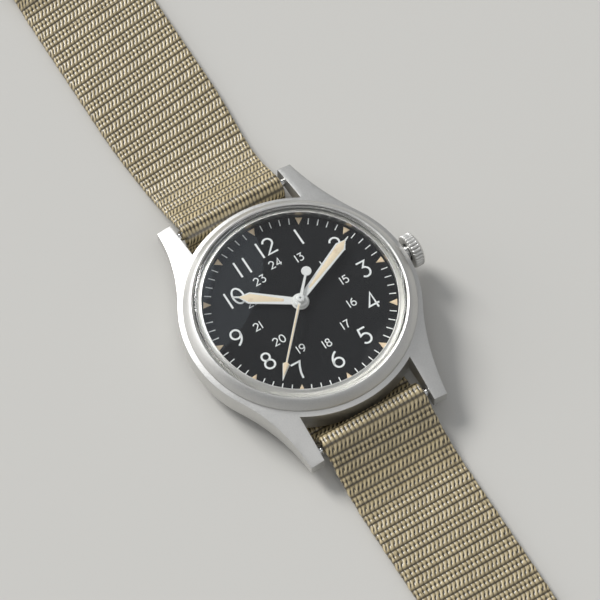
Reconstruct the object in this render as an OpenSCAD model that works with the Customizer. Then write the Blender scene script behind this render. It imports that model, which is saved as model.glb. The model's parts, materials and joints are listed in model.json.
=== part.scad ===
// Field wristwatch: hand-wound, three hands, on a one-piece woven strap that passes under the case.
// Millimetres. The origin is under the centre of the case, on the strap's underside.
// +Z is up out of the dial, +Y points to 12 o'clock, +X points to 3 o'clock and the crown.

/* [Case] */
// Diameter of the middle case
case_d = 34.6; // [33.8:0.1:40]
// How far the lugs reach past the axis of the spring bars
lug_reach = 1.8; // [1.4:0.1:2.6]
// Gap between two lugs, where the strap passes
lug_gap = 18; // [17.6:0.1:20]
// Width of a lug at its tip
lug_tip_w = 2.1; // [1.6:0.1:3]
// Diameter of the bezel
bezel_d = 33.2; // [33:0.1:33.6]
// Height of the bezel above the middle case
bezel_h = 1.75; // [1.5:0.05:2.4]
// Diameter of the crystal
crystal_d = 30.1; // [29.8:0.1:30.6]
// Thickness of the crystal's dome
crystal_t = 1.1; // [0.8:0.1:1.4]
// Rise of the dome above the crystal's shoulder
dome_h = 1.9; // [1.2:0.1:3]
// Thickness of the case back
back_t = 0.65; // [0.6:0.05:1.5]
// Number of wrench notches in the case back
back_notches = 6; // [4:1:12]

/* [Crown] */
// Diameter of the crown
crown_d = 5.1; // [4.6:0.1:7]
// Length of the crown's fluted band
crown_l = 1.25; // [1.1:0.05:3]
// Number of flutes round the crown
crown_flutes = 28; // [16:1:40]
// Diameter of the winding stem
stem_d = 0.9; // [0.8:0.05:1]

/* [Dial and hands] */
// Diameter of the dial
dial_d = 28.4; // [28:0.1:28.5]
// Thickness of the dial
dial_t = 0.4; // [0.3:0.05:0.6]
// Length of the hour hand from the centre
hour_l = 9.6; // [7:0.1:11]
// Length of the minute hand from the centre
minute_l = 12.1; // [10:0.1:13]
// Length of the seconds hand from the centre
second_l = 12.8; // [11:0.1:13.2]
// Thickness of a hand
hand_t = 0.15; // [0.1:0.01:0.2]
// Direction of the hour hand, degrees clockwise from 12 o'clock
hour_a = 305.4; // [0:0.1:360]
// Direction of the minute hand, degrees clockwise from 12 o'clock
minute_a = 64.8; // [0:0.1:360]
// Direction of the seconds hand, degrees clockwise from 12 o'clock
second_a = 222; // [0:0.1:360]

/* [Movement] */
// Diameter of the movement
movement_d = 25.6; // [25.2:0.1:26]
// Height of the mainspring barrel
barrel_h = 1.1; // [1:0.05:1.6]
// Thickness of the bridges
bridge_t = 0.45; // [0.4:0.05:0.8]
// Thickness of the main plate between train and dial work
web_t = 0.5; // [0.4:0.05:0.9]
// Depth of the recess for the dial work
dial_work_h = 0.85; // [0.8:0.05:1.2]
// Thickness of the train wheels
wheel_t = 0.15; // [0.12:0.01:0.2]

/* [Strap] */
// Width of the strap between the lugs and on its tail side
strap_w = 16.5; // [14:0.1:17]
// Width that the strap's buckle side spreads to behind the lugs
spread_w = 18.3; // [17:0.1:19]
// Thickness of the strap
strap_t = 1.2; // [1:0.05:1.25]
// Distance from the middle case's edge to the axis of the spring bars
bar_out = 2.3; // [2.2:0.05:2.8]
// Diameter of a spring bar's tube
bar_d = 1.5; // [1.3:0.05:1.5]
// Distance of the buckle's bar from the centre of the case
buckle_y = 104; // [96:1:120]
// Distance of the strap's tip from the centre of the case
tail_y = 145; // [135:1:170]
// Number of holes in the tail
hole_count = 9; // [5:1:10]
// Diameter of a hole in the tail
hole_d = 1.9; // [1.5:0.1:2.5]
// Distance from one hole to the next
hole_pitch = 7; // [5:0.5:7]
// Thickness of the keepers' webbing
keeper_t = 0.8; // [0.6:0.1:1.2]
// Length of a keeper along the strap
keeper_l = 5; // [4:0.5:5]

/* [Buckle] */
// Inner width of the buckle's frame
buckle_in_w = 20; // [19.4:0.1:21.6]
// Thickness of the buckle's frame
buckle_t = 1.8; // [1.4:0.1:2]
// Length of the buckle's window from its bar to the front
buckle_in_l = 7.8; // [6:0.1:12]
// Width of the tongue
tongue_w = 2; // [1.6:0.1:2.2]

/* [Hidden] */
TIP_NODES = ["tip_12_left", "tip_12_right", "tip_6_left", "tip_6_right"];

$fn = 96;
eps = 0.01;

// Clearances
run_gap = 0.1;      // between a moving wheel and what lies above or below it
side_gap = 0.25;    // round a moving wheel in its pocket
fit_gap = 0.02;     // round a shaft or pivot
seat_gap = 0.05;    // round a part that is pushed into its seat
strap_gap = 0.1;    // between the strap and what it lies against

// Levels of the case, from the strap upward
back_z = strap_t + strap_gap;
back_rim_h = 1;
back_neck_h = 0.55;
case_z = back_z + back_rim_h;

// Levels of the movement, from the case back upward
head_h = 0.25;
head_z = back_z + back_t + run_gap;
bridge_z = head_z + head_h;
fourth_z = bridge_z + bridge_t + run_gap;
barrel_z = fourth_z + wheel_t + run_gap;
center_z = barrel_z + barrel_h + run_gap;
web_z = center_z + 2 * wheel_t;
dial_work_z = web_z + web_t;
dial_z = dial_work_z + dial_work_h;
plate_z = barrel_z + 0.7;
stem_z = dial_work_z - 0.65;
third_z = barrel_z + 0.25;
escape_z = plate_z + 0.15;
balance_z = barrel_z;
pallet_bridge_z = plate_z - 0.3;

// Middle case
case_r = case_d / 2;
bar_r = bar_d / 2;
bar_y = case_r + max(bar_out, bar_r + strap_t + 2 * strap_gap);
bezel_r = bezel_d / 2;
case_top = dial_z + 0.25;
dial_seat_r = dial_d / 2 + 0.1;
bore_r = movement_d / 2 + 0.75;
gasket_in_r = bore_r + 0.35;
gasket_out_r = bore_r + 0.95;
gasket_t = 0.2;
lug_in = lug_gap / 2;
lug_out = lug_in + lug_tip_w;
lug_y = bar_y + lug_reach;
lug_flare_r = 30;
bar_z = case_z + 0.8;
lug_hole_r = 0.4;
lug_hole_l = 1.2;
tube_half = lug_in - 0.55;
tube_bore = 0.6;
tip_step = 0.08;

// Bezel and crystal
bezel_in_r = crystal_d / 2 + seat_gap;
bezel_ledge_r = bezel_in_r - 0.75;
bezel_ledge_h = 0.4;
crystal_r = crystal_d / 2;
crystal_wall = 0.75;
crystal_z = case_top + bezel_ledge_h;
shoulder_z = case_top + bezel_h + 0.25;
tension_t = 0.45;

// Crown and stem
crown_r = crown_d / 2;
crown_x = case_r + 0.6;
crown_dome = 0.7;
tube_r = 1.1;
tube_in_r = 0.8;
stem_r = stem_d / 2;
crown_bore_r = 1.35;
crown_bore_l = crown_l - 0.15;
clutch_x = 7.1;
clutch_l = 2.1;
clutch_r = 0.95;
winding_r = 1.43;
winding_x = clutch_x + clutch_l + run_gap;
winding_l = 1.2;
lever_groove_x = winding_x + winding_l + 0.55;
lever_z = dial_z - 0.5;
lever_t = 0.2;
lever_post_r = 0.25;
lever_pivot = [lever_groove_x - 0.8, -2.2];
yoke_pin_x = clutch_x + 0.9;
yoke_pivot = [yoke_pin_x + 0.5, 2.6];

// Train: wheel centres, tooth counts and modules
plate_r = movement_d / 2;
bridge_r = plate_r - 0.3;
train_d = 4;
center_teeth = 64;
third_pinion_teeth = 8;
third_teeth = 60;
fourth_pinion_teeth = 8;
fourth_teeth = 72;
escape_pinion_teeth = 6;
escape_teeth = 15;
escape_r = 2;
center_m = 2 * train_d / (center_teeth + third_pinion_teeth);
third_m = 2 * train_d / (third_teeth + fourth_pinion_teeth);
escape_m = 0.1;
escape_d = escape_m * (fourth_teeth + escape_pinion_teeth) / 2;
barrel_d = 6.16;
barrel_teeth = 70;
center_pinion_teeth = 10;
barrel_m = 2 * barrel_d / (barrel_teeth + center_pinion_teeth);
barrel_r = 5;
crown_wheel_x = 6.9;
crown_wheel_teeth = 30;
ratchet_teeth = 44;
winding_m = 0.22;
ratchet_r = winding_m * ratchet_teeth / 2;
crown_wheel_r = winding_m * crown_wheel_teeth / 2;
winding_d = ratchet_r + crown_wheel_r;
barrel_a = acos((barrel_d * barrel_d + crown_wheel_x * crown_wheel_x - winding_d * winding_d)
    / (2 * barrel_d * crown_wheel_x));
third_a = barrel_a + 140;
escape_a = 290;
lever_a = 300;
barrel_p = polar(barrel_d, barrel_a);
third_p = polar(train_d, third_a);
escape_p = polar(escape_d, escape_a);
fork_l = 2.9;
pallet_p = escape_p + polar(2.45, lever_a);
balance_p = pallet_p + polar(fork_l, lever_a);
balance_r = 3.2;
crown_wheel_p = [crown_wheel_x, 0];
pivot_r = 0.1;
arbor_r = 0.2;
jewel_r = 0.45;
jewel_t = 0.2;
low_pivot_z = bridge_z + bridge_t - jewel_t + fit_gap;
high_pivot_z = web_z + jewel_t - fit_gap;
fork_room_h = 0.6;
fork_pivot_z = plate_z + fork_room_h + jewel_t - fit_gap;

// Fasteners of the bridges and the dial, and the click of the ratchet wheel
click_reach = 1.9;
click_post_r = 0.3;
click_p = barrel_p + polar(ratchet_r + click_reach, 165);
screw_r = 0.35;
screw_head_r = 0.7;
cock_foot = polar(plate_r - 2.2, 322);
screw_places = concat([for (a = [55, 120, 163, 200, 250]) polar(plate_r - 1.45, a)], [cock_foot]);
foot_r = 0.35;
foot_l = 0.9;
dial_foot_places = [polar(plate_r - 1.2, 60), polar(plate_r - 1.2, 240)];

// Dial work
work_m = 0.12;
cannon_teeth = 10;
minute_teeth = 30;
minute_pinion_teeth = 8;
hour_teeth = 32;
setting_teeth = 20;
work_d = work_m * (cannon_teeth + minute_teeth) / 2;
setting_x = work_d + work_m * (minute_teeth + setting_teeth) / 2;
minute_wheel_z = dial_work_z + 0.05;
hour_wheel_z = dial_z - 0.3;
center_tube_r = 0.35;
cannon_r = 0.52;
hour_pipe_r = 0.85;
dial_hole_r = hour_pipe_r + 0.1;

// Hands
dial_top = dial_z + dial_t;
hand_step = 0.42;
hour_hand_z = dial_top + 0.45;
minute_hand_z = hour_hand_z + hand_step;
second_hand_z = minute_hand_z + hand_step;

// Strap
z0 = strap_t / 2;
wrap_r = bar_r + strap_gap + strap_t / 2;
dive_r = 2.2;
slope_a = 30;
sag_r = 18;
split_a = 1;
wrap_exit = [bar_y, bar_z] + polar(wrap_r, 90 - slope_a);
slope_l = (wrap_exit[1] - z0 - sag_r * (1 - cos(slope_a))) / sin(slope_a);
sag_start = wrap_exit + polar(slope_l, -slope_a);
floor_y = sag_start[0] + sag_r * sin(slope_a);
spread_y = bar_y + 4;
spread_l = 18;
raised_z = keeper_t + strap_gap + z0;
double_z = raised_z + strap_t + strap_gap;
pin_r = 0.8;
loop_r = pin_r + strap_gap + strap_t / 2;
pin_z = raised_z + loop_r;
rise_l = 6;
fold_y = buckle_y - 17;
slide_y0 = buckle_y - 34;
slide_y1 = fold_y - 5;
sliding_keeper_y = slide_y0 + keeper_l / 2 + 3;
fixed_keeper_y = fold_y + 6;
tongue_slot_w = tongue_w + 0.8;
tongue_slot_l = 4;
frame_arm_w = 1.8;
frame_reach = [buckle_in_l + frame_arm_w, buckle_t / 2];
buckle_tilt = asin((pin_z - seat_gap) / norm(frame_reach)) - atan2(frame_reach[1], frame_reach[0]);
first_hole_y = tail_y - 20;

function polar(r, a) = [r * cos(a), r * sin(a)];
function arc(c, r, a0, a1, n) = [for (i = [0:n]) c + polar(r, a0 + (a1 - a0) * i / n)];
function ease(p, q, n) = [for (i = [0:n]) let (s = i / n) [p[0] + (q[0] - p[0]) * s,
    p[1] + (q[1] - p[1]) * s * s * (3 - 2 * s)]];
function flip(path) = [for (i = [len(path) - 1:-1:0]) [-path[i][0], path[i][1]]];
function heading(path, i) = let (n = len(path) - 1)
    i == 0 ? 4 * path[1] - 3 * path[0] - path[2] :
    i == n ? 3 * path[n] - 4 * path[n - 1] + path[n - 2] : path[i + 1] - path[i - 1];
function side_of(path, i) = let (d = heading(path, i)) [-d[1], d[0]] / norm(d);
function ribbon(path, t) = concat(
    [for (i = [0:len(path) - 1]) path[i] + side_of(path, i) * t / 2],
    [for (i = [len(path) - 1:-1:0]) path[i] - side_of(path, i) * t / 2]);

// Turns the tooth pattern of a wheel so that it meshes with its driver, whose first tooth is at a0
function share(x) = x - floor(x);
function mesh_turn(a0, n0, a, n1) = a + 180 - share(0.5 - share((a - a0) * n0 / 360)) * 360 / n1;

module at(p, z) {
    translate([p[0], p[1], z]) children();
}

module along_x(x, z) {
    translate([x, 0, z]) rotate([0, 90, 0]) children();
}

module side_extrude(w) {
    rotate([90, 0, 90]) linear_extrude(height = w, center = true) children();
}

module tube(r, r_in, h) {
    difference() {
        cylinder(r = r, h = h);
        translate([0, 0, -eps]) cylinder(r = r_in, h = h + 2 * eps);
    }
}

module gear(teeth, m, h, turn = 0, bore = 0) {
    pitch = 360 / teeth;
    root_r = m * teeth / 2 - 1.1 * m;
    tip_r = m * teeth / 2 + 0.8 * m;
    difference() {
        linear_extrude(height = h)
            polygon([for (i = [0:teeth - 1])
                for (c = [[-0.25, root_r], [-0.11, tip_r], [0.11, tip_r], [0.25, root_r]])
                    polar(c[1], turn + (i + c[0]) * pitch)]);
        if (bore > 0) translate([0, 0, -eps]) cylinder(r = bore, h = h + 2 * eps);
    }
}

// A wheel with five round windows between its rim and hub
module windowed_gear(teeth, m, h, turn = 0, bore = 0) {
    r = m * teeth / 2;
    difference() {
        gear(teeth, m, h, turn, bore);
        for (i = [0:4])
            at(polar(r * 0.55, turn + 72 * i + 20), -eps) cylinder(r = r * 0.24, h = h + 2 * eps);
    }
}

module arbor(z_low, z_high, r = arbor_r) {
    translate([0, 0, z_low]) cylinder(r = pivot_r, h = z_high - z_low);
    translate([0, 0, z_low + 0.3]) cylinder(r = r, h = z_high - z_low - 0.6);
}

// Case

module case_plan() {
    circle(r = case_r, $fn = 180);
    for (sx = [-1, 1]) for (sy = [-1, 1]) scale([sx, sy]) lug_plan();
}

module lug_plan() {
    reach = norm([lug_out, lug_y]);
    centre_r = case_r + lug_flare_r;
    lean = acos((centre_r ^ 2 + reach ^ 2 - lug_flare_r ^ 2) / (2 * centre_r * reach));
    flare_c = polar(centre_r, atan2(lug_y, lug_out) - lean);
    root = flare_c * case_r / centre_r;
    difference() {
        translate([lug_in, root[1]]) square([root[0] - lug_in, lug_y - root[1]]);
        translate(flare_c) circle(r = lug_flare_r, $fn = 360);
    }
}

// Turned outline that gives the middle case and the lugs their falling top and flat underside
module case_profile() {
    tip_r = norm([lug_out, lug_y]) + 0.5;
    tip_top = bar_z + 0.35;
    polygon(concat(
        [[0, case_z], [case_r - 0.4, case_z], [tip_r, bar_z - 1.2], [tip_r, tip_top]],
        [for (i = [5:-1:0]) let (s = i / 5)
            [bezel_r + (tip_r - bezel_r) * s, case_top - (case_top - tip_top) * (0.75 * s + 0.25 * s * s)]],
        [[0, case_top]]));
}

module case_middle() color("silver") {
    difference() {
        intersection() {
            linear_extrude(height = case_top + 1) case_plan();
            rotate_extrude($fn = 180) case_profile();
        }
        translate([0, 0, case_z - eps]) cylinder(r = bore_r, h = case_top - case_z + 1);
        translate([0, 0, dial_z]) cylinder(r = dial_seat_r, h = 2);
        along_x(bore_r - 1, stem_z) cylinder(r = tube_r, h = case_r - bore_r + 2.5);
        for (sy = [-1, 1]) for (sx = [-1, 1])
            translate([sx * (lug_in + lug_hole_l / 2 - 0.5), sy * bar_y, bar_z]) rotate([0, 90, 0])
                cylinder(r = lug_hole_r, h = lug_hole_l + 1, center = true);
    }
}

module bezel() color("lightgray") {
    rotate_extrude($fn = 180)
        polygon(concat(
            [[bezel_ledge_r, case_top], [bezel_r - 0.1, case_top], [bezel_r, case_top + 0.1],
             [bezel_r, case_top + 0.35]],
            [for (i = [1:6]) let (s = i / 6) [bezel_r - (bezel_r - bezel_in_r - 0.25) * s,
                case_top + 0.35 + (bezel_h - 0.35) * sin(90 * s * 0.8) / sin(72)]],
            [[bezel_in_r, case_top + bezel_h - 0.15], [bezel_in_r, crystal_z], [bezel_ledge_r, crystal_z]]));
}

module crystal() color("lightcyan", 0.3) {
    inner_r = crystal_r - crystal_wall;
    outer_R = (crystal_r ^ 2 + dome_h ^ 2) / (2 * dome_h);
    inner_h = dome_h * 0.6;
    inner_R = (inner_r ^ 2 + inner_h ^ 2) / (2 * inner_h);
    outer_a = asin(crystal_r / outer_R);
    inner_a = asin(inner_r / inner_R);
    top_z = shoulder_z + dome_h;
    rotate_extrude($fn = 180)
        polygon(concat(
            [[inner_r, crystal_z], [crystal_r, crystal_z]],
            [for (i = [0:12]) let (a = outer_a * (1 - i / 12))
                [outer_R * sin(a), top_z - outer_R * (1 - cos(a))]],
            [for (i = [0:12]) let (a = inner_a * i / 12)
                [inner_R * sin(a), top_z - crystal_t - inner_R * (1 - cos(a))]]));
}

module tension_ring() color("gainsboro") {
    r = crystal_r - crystal_wall - seat_gap;
    top_z = shoulder_z + dome_h * 0.4 - crystal_t - 0.1;
    translate([0, 0, dial_top]) tube(r, r - tension_t, top_z - dial_top);
}

module case_back() color("silver") {
    rim_r = bore_r + 1.65;
    difference() {
        union() {
            translate([0, 0, back_z + 0.3]) cylinder(r = rim_r, h = back_rim_h - 0.3);
            translate([0, 0, back_z]) cylinder(r1 = rim_r - 0.5, r2 = rim_r, h = 0.3);
            translate([0, 0, case_z - eps]) cylinder(r = bore_r - seat_gap, h = back_neck_h);
        }
        translate([0, 0, back_z + back_t]) cylinder(r = bore_r - 0.6, h = 5);
        translate([0, 0, case_z - gasket_t]) tube(gasket_out_r, gasket_in_r, 1);
        for (i = [0:back_notches - 1])
            rotate(360 / back_notches * i) translate([rim_r - 0.9, -1, back_z - eps]) cube([2, 2, 0.4]);
    }
}

module back_gasket() color("dimgray") {
    translate([0, 0, case_z - gasket_t]) tube(gasket_out_r - seat_gap, gasket_in_r + seat_gap, gasket_t);
}

module movement_ring() color("gold") {
    difference() {
        translate([0, 0, case_z + back_neck_h])
            tube(bore_r - seat_gap, plate_r + seat_gap, dial_z - case_z - back_neck_h);
        along_x(0, stem_z) cylinder(r = 0.8, h = 30);
    }
}

// Crown and keyless work

module crown_tube() color("silver") {
    start_x = bore_r + 0.05;
    along_x(start_x, stem_z) tube(tube_r - fit_gap, tube_in_r, crown_x + crown_bore_l - 0.2 - start_x);
}

module crown() color("lightgray") {
    along_x(crown_x, stem_z) {
        difference() {
            union() {
                difference() {
                    cylinder(r = crown_r, h = crown_l);
                    for (i = [0:crown_flutes - 1])
                        rotate(360 / crown_flutes * i) translate([crown_r + 0.1, 0, -eps])
                            cylinder(r = crown_r * 0.095, h = crown_l * 0.9, $fn = 24);
                }
                translate([0, 0, crown_l]) rotate_extrude()
                    polygon([[0, 0], [crown_r - 0.05, 0], [crown_r - 0.25, 0.22], [crown_r - 0.7, 0.45],
                             [crown_r - 1.3, 0.6], [0, crown_dome]]);
            }
            translate([0, 0, -eps]) cylinder(r = crown_bore_r, h = crown_bore_l + eps);
        }
        difference() {
            cylinder(r = tube_in_r - seat_gap, h = crown_bore_l);
            translate([0, 0, -eps]) cylinder(r = stem_r, h = crown_bore_l);
        }
    }
}

module crown_gasket() color("dimgray") {
    along_x(crown_x + 0.25, stem_z) tube(crown_bore_r, tube_r + fit_gap, 0.5);
}

module winding_stem() color("gray") {
    difference() {
        union() {
            along_x(clutch_x - 0.7, stem_z) cylinder(r = stem_r * 0.6, h = 0.7);
            translate([clutch_x + (winding_x - clutch_x) / 2, 0, stem_z])
                cube([winding_x - clutch_x, stem_r * 1.4, stem_r * 1.4], center = true);
            along_x(winding_x, stem_z) cylinder(r = stem_r, h = crown_x + crown_bore_l - 0.1 - winding_x);
        }
        along_x(lever_groove_x - 0.3, stem_z) tube(stem_r + 1, stem_r - 0.15, 0.6);
    }
}

module winding_pinion() color("gray") {
    difference() {
        along_x(winding_x, stem_z) {
            gear(14, 0.19, winding_l * 0.55, 0);
            translate([0, 0, winding_l * 0.55]) cylinder(r = 1, h = winding_l * 0.45);
        }
        along_x(winding_x - eps, stem_z) cylinder(r = stem_r + fit_gap, h = winding_l + 1);
    }
}

module sliding_pinion() color("gray") {
    difference() {
        along_x(clutch_x, stem_z) {
            gear(12, 0.14, 0.6, 15);
            cylinder(r = 0.6, h = clutch_l);
            translate([0, 0, 1.2]) cylinder(r = clutch_r, h = clutch_l - 1.2);
        }
        translate([clutch_x + clutch_l / 2, 0, stem_z])
            cube([clutch_l + 1, stem_r * 1.4 + 0.06, stem_r * 1.4 + 0.06], center = true);
    }
}

// A flat lever with a round hub at its pivot and a pin that points down at its other end
module pinned_lever(pivot, pin, pin_r, pin_low, w) {
    d = pin - pivot;
    at(pivot, lever_z) cylinder(r = 0.6, h = lever_t);
    at(pivot, lever_z - 0.4) cylinder(r = lever_post_r, h = 0.5);
    at(pin, lever_z) cylinder(r = w * 0.6, h = lever_t);
    at(pivot, lever_z) rotate(atan2(d[1], d[0])) translate([0, -w / 2, 0]) cube([norm(d), w, lever_t]);
    at(pin, pin_low) cylinder(r = pin_r, h = lever_z - pin_low + eps, $fn = 32);
}

module setting_lever() color("gray") {
    pinned_lever(lever_pivot, [lever_groove_x, 0], 0.15, stem_z + stem_r - 0.12, 0.6);
}

module yoke() color("gray") {
    pinned_lever(yoke_pivot, [yoke_pin_x, 0], 0.18, stem_z + 0.65, 0.6);
}

module setting_wheel() color("goldenrod") {
    turn = mesh_turn(mesh_turn(0, cannon_teeth, 0, minute_teeth), minute_teeth, 0, setting_teeth);
    at([setting_x, 0], minute_wheel_z) gear(setting_teeth, work_m, 0.2, turn);
    at([setting_x, 0], minute_wheel_z - 0.25) cylinder(r = arbor_r, h = 0.6);
}

// Plate and bridges

module main_plate() color("silver") {
    difference() {
        union() {
            translate([0, 0, plate_z]) cylinder(r = plate_r, h = dial_z - plate_z);
            at(crown_wheel_p, head_z + 0.05) cylinder(r = 0.6, h = plate_z - head_z);
        }
        // pockets for barrel, centre wheel, third pinion, escape wheel, fork and roller
        translate([0, 0, plate_z - eps]) {
            cylinder(r = center_m * center_teeth / 2 + side_gap + 0.1, h = web_z - plate_z + eps);
            at(barrel_p, 0) cylinder(r = barrel_r + 0.85, h = web_z - plate_z + eps);
            at(third_p, 0) cylinder(r = 0.8, h = web_z - plate_z + eps);
            at(escape_p, 0) cylinder(r = escape_r + 0.3, h = web_z - plate_z + eps);
            at(pallet_p, 0) cylinder(r = 1.6, h = fork_room_h);
            at(balance_p, 0) cylinder(r = 0.9, h = fork_room_h);
            at(pallet_p, 0) rotate(lever_a) translate([0, -0.7, 0]) cube([fork_l, 1.4, fork_room_h]);
        }
        // dial work recess
        translate([0, 0, dial_work_z]) {
            cylinder(r = work_m * hour_teeth / 2 + 0.35, h = 3);
            at([work_d, 0], 0) cylinder(r = work_m * minute_teeth / 2 + 0.35, h = 3);
            at([setting_x, 0], 0) cylinder(r = work_m * setting_teeth / 2 + 0.35, h = 3);
            translate([setting_x, -3.2, 0]) cube([lever_groove_x + 0.9 - setting_x, 6.5, 3]);
        }
        // slot for the two pinions on the stem, and the stem's own hole
        translate([clutch_x - 0.45, -winding_r - 0.15, stem_z - clutch_r - run_gap])
            cube([winding_x + winding_l + 0.55 - clutch_x, 2 * winding_r + 0.3, 5]);
        along_x(clutch_x - 1, stem_z) cylinder(r = stem_r + seat_gap, h = 12);
        at([lever_groove_x - 0.25, -0.75], stem_z) cube([1.35, 1.1, 2]);
        // pivot holes
        translate([0, 0, web_z - eps]) cylinder(r = center_tube_r + fit_gap, h = web_t + 1);
        at(barrel_p, web_z - eps) cylinder(r = 0.4 + fit_gap, h = 0.35);
        for (p = [third_p, escape_p]) at(p, web_z - eps) cylinder(r = jewel_r, h = jewel_t + eps);
        for (p = [pallet_p, balance_p])
            at(p, plate_z + fork_room_h - 2 * eps) cylinder(r = jewel_r, h = jewel_t + 2 * eps);
        at([work_d, 0], dial_work_z - 0.3) cylinder(r = arbor_r + fit_gap, h = 1);
        at([setting_x, 0], dial_work_z - 0.3) cylinder(r = arbor_r + fit_gap, h = 1);
        for (p = [lever_pivot, yoke_pivot]) at(p, lever_z - 0.5) cylinder(r = lever_post_r + fit_gap, h = 1);
        at(click_p, plate_z - eps) cylinder(r = click_post_r + fit_gap, h = 0.4);
        for (p = screw_places) at(p, plate_z - eps) cylinder(r = screw_r, h = 0.5);
        for (p = dial_foot_places) at(p, dial_z - foot_l - 0.1) cylinder(r = foot_r + fit_gap, h = 2);
    }
}

module bridge_blank() {
    intersection() {
        translate([0, 0, bridge_z]) cylinder(r = bridge_r, h = plate_z - bridge_z);
        translate([0, 0, bridge_z]) linear_extrude(height = plate_z - bridge_z) children();
    }
}

// What runs under the bridges: fourth wheel, third wheel, barrel, escape pinion, winding parts
module train_room() {
    room_z = bridge_z + bridge_t;
    h = plate_z - room_z + eps;
    translate([0, 0, room_z]) {
        cylinder(r = escape_m * fourth_teeth / 2 + side_gap + 0.1, h = h);
        at(third_p, 0) cylinder(r = third_m * third_teeth / 2 + side_gap + 0.1, h = h);
        at(barrel_p, 0) cylinder(r = barrel_r + 0.85, h = h);
        at(escape_p, 0) cylinder(r = 0.8, h = h);
        translate([clutch_x - 0.6, -winding_r - 0.3, 0])
            cube([winding_x + winding_l + 0.4 - clutch_x + 0.6, 2 * winding_r + 0.6, h]);
    }
}

module screw_holes() {
    for (p = screw_places) at(p, bridge_z - eps) cylinder(r = screw_r, h = 5);
}

module barrel_bridge() color("silver") {
    difference() {
        bridge_blank() polygon([[-14, 1.35], [3.05, 1.35], [3.05, -3.9], [14, -3.9], [14, 14], [-14, 14]]);
        train_room();
        screw_holes();
        at(crown_wheel_p, bridge_z - 1) cylinder(r = crown_wheel_r + 0.35, h = 5);
        at(barrel_p, bridge_z - 1) cylinder(r = 0.6 + fit_gap, h = 3);
        at(click_p, bridge_z - 1) cylinder(r = click_post_r + fit_gap, h = 5);
    }
}

module train_bridge() color("silver") {
    difference() {
        bridge_blank() polygon([[-14, 1.15], [2.85, 1.15], [2.85, -14], [-14, -14]]);
        train_room();
        screw_holes();
        at(balance_p, bridge_z - 1) cylinder(r = 4.5, h = 5);
        at(crown_wheel_p, bridge_z - 1) cylinder(r = crown_wheel_r + 0.35, h = 5);
        for (p = [[0, 0], third_p, escape_p])
            at(p, bridge_z + bridge_t - jewel_t) cylinder(r = jewel_r, h = jewel_t + eps);
        for (p = [[0, 0], third_p, escape_p]) at(p, bridge_z - 1) cylinder(r = pivot_r + 0.1, h = 3);
    }
}

module balance_cock() color("silver") {
    d = cock_foot - balance_p;
    difference() {
        union() {
            at(balance_p, bridge_z) cylinder(r = 1.1, h = bridge_t);
            at(balance_p, bridge_z) rotate(atan2(d[1], d[0])) translate([0, -0.8, 0])
                cube([norm(d), 1.6, bridge_t]);
            at(cock_foot, bridge_z) cylinder(r = 1.15, h = plate_z - bridge_z);
        }
        screw_holes();
        at(balance_p, bridge_z + bridge_t - jewel_t) cylinder(r = jewel_r, h = 1);
        at(balance_p, bridge_z - 1) cylinder(r = pivot_r + 0.1, h = 3);
    }
}

module pallet_bridge() color("silver") {
    difference() {
        at(pallet_p, pallet_bridge_z) rotate(lever_a) translate([-0.5, -2.7, 0])
            cube([1, 5.4, plate_z - pallet_bridge_z]);
        at(pallet_p, pallet_bridge_z - 1) cylinder(r = pivot_r + fit_gap, h = 3);
    }
}

module jewel(p, z) {
    at(p, z) tube(jewel_r, pivot_r + fit_gap, jewel_t);
}

module jewels() color("crimson") {
    low_z = bridge_z + bridge_t - jewel_t;
    for (p = [[0, 0], third_p, escape_p, balance_p]) jewel(p, low_z);
    for (p = [third_p, escape_p]) jewel(p, web_z);
    for (p = [pallet_p, balance_p]) jewel(p, plate_z + fork_room_h);
}

module bridge_screws() color("steelblue") {
    for (p = screw_places) {
        difference() {
            at(p, head_z) cylinder(r = screw_head_r, h = head_h);
            at(p, head_z) translate([0, 0, 0.05]) cube([2, 0.18, 0.12], center = true);
        }
        at(p, bridge_z) cylinder(r = screw_r, h = plate_z - bridge_z + 0.45);
    }
}

// Barrel and winding wheels

module barrel_drum() color("goldenrod") {
    turn = mesh_turn(0, center_pinion_teeth, barrel_a, barrel_teeth);
    at(barrel_p, barrel_z) difference() {
        union() {
            translate([0, 0, 0.15]) cylinder(r = barrel_r, h = barrel_h - 0.15);
            translate([0, 0, 0.65]) gear(barrel_teeth, barrel_m, 0.3, turn);
        }
        translate([0, 0, 0.1]) cylinder(r = barrel_r - 0.25, h = barrel_h - 0.25);
        cylinder(r = 0.4 + fit_gap, h = 3);
    }
}

module barrel_cover() color("goldenrod") {
    at(barrel_p, barrel_z) tube(barrel_r, 0.6 + fit_gap, 0.15);
}

module barrel_arbor() color("gray") {
    at(barrel_p, head_z + 0.22) cylinder(r = 0.6, h = barrel_z + 0.2 - head_z - 0.22);
    at(barrel_p, barrel_z + 0.2) cylinder(r = 1, h = barrel_h - 0.4);
    at(barrel_p, barrel_z + barrel_h - 0.2) cylinder(r = 0.4, h = web_z + 0.3 - barrel_z - barrel_h + 0.2);
}

module mainspring() color("slategray") {
    turns = 6;
    steps = 24 * turns;
    r0 = 1.15;
    r1 = barrel_r - 0.45;
    w = 0.12;
    at(barrel_p, barrel_z + 0.25) linear_extrude(height = barrel_h - 0.5)
        polygon(concat(
            [for (i = [0:steps]) polar(r0 + (r1 - r0) * i / steps, 15 * i)],
            [for (i = [steps:-1:0]) polar(r0 + w + (r1 - r0) * i / steps, 15 * i)]));
}

module ratchet_wheel() color("silver") {
    turn = mesh_turn(0, crown_wheel_teeth, atan2(barrel_p[1], barrel_p[0] - crown_wheel_x), ratchet_teeth);
    at(barrel_p, head_z) difference() {
        gear(ratchet_teeth, winding_m, 0.2, turn);
        translate([0, 0, -eps]) cylinder(r = 0.9, h = 0.06);
    }
}

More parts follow.
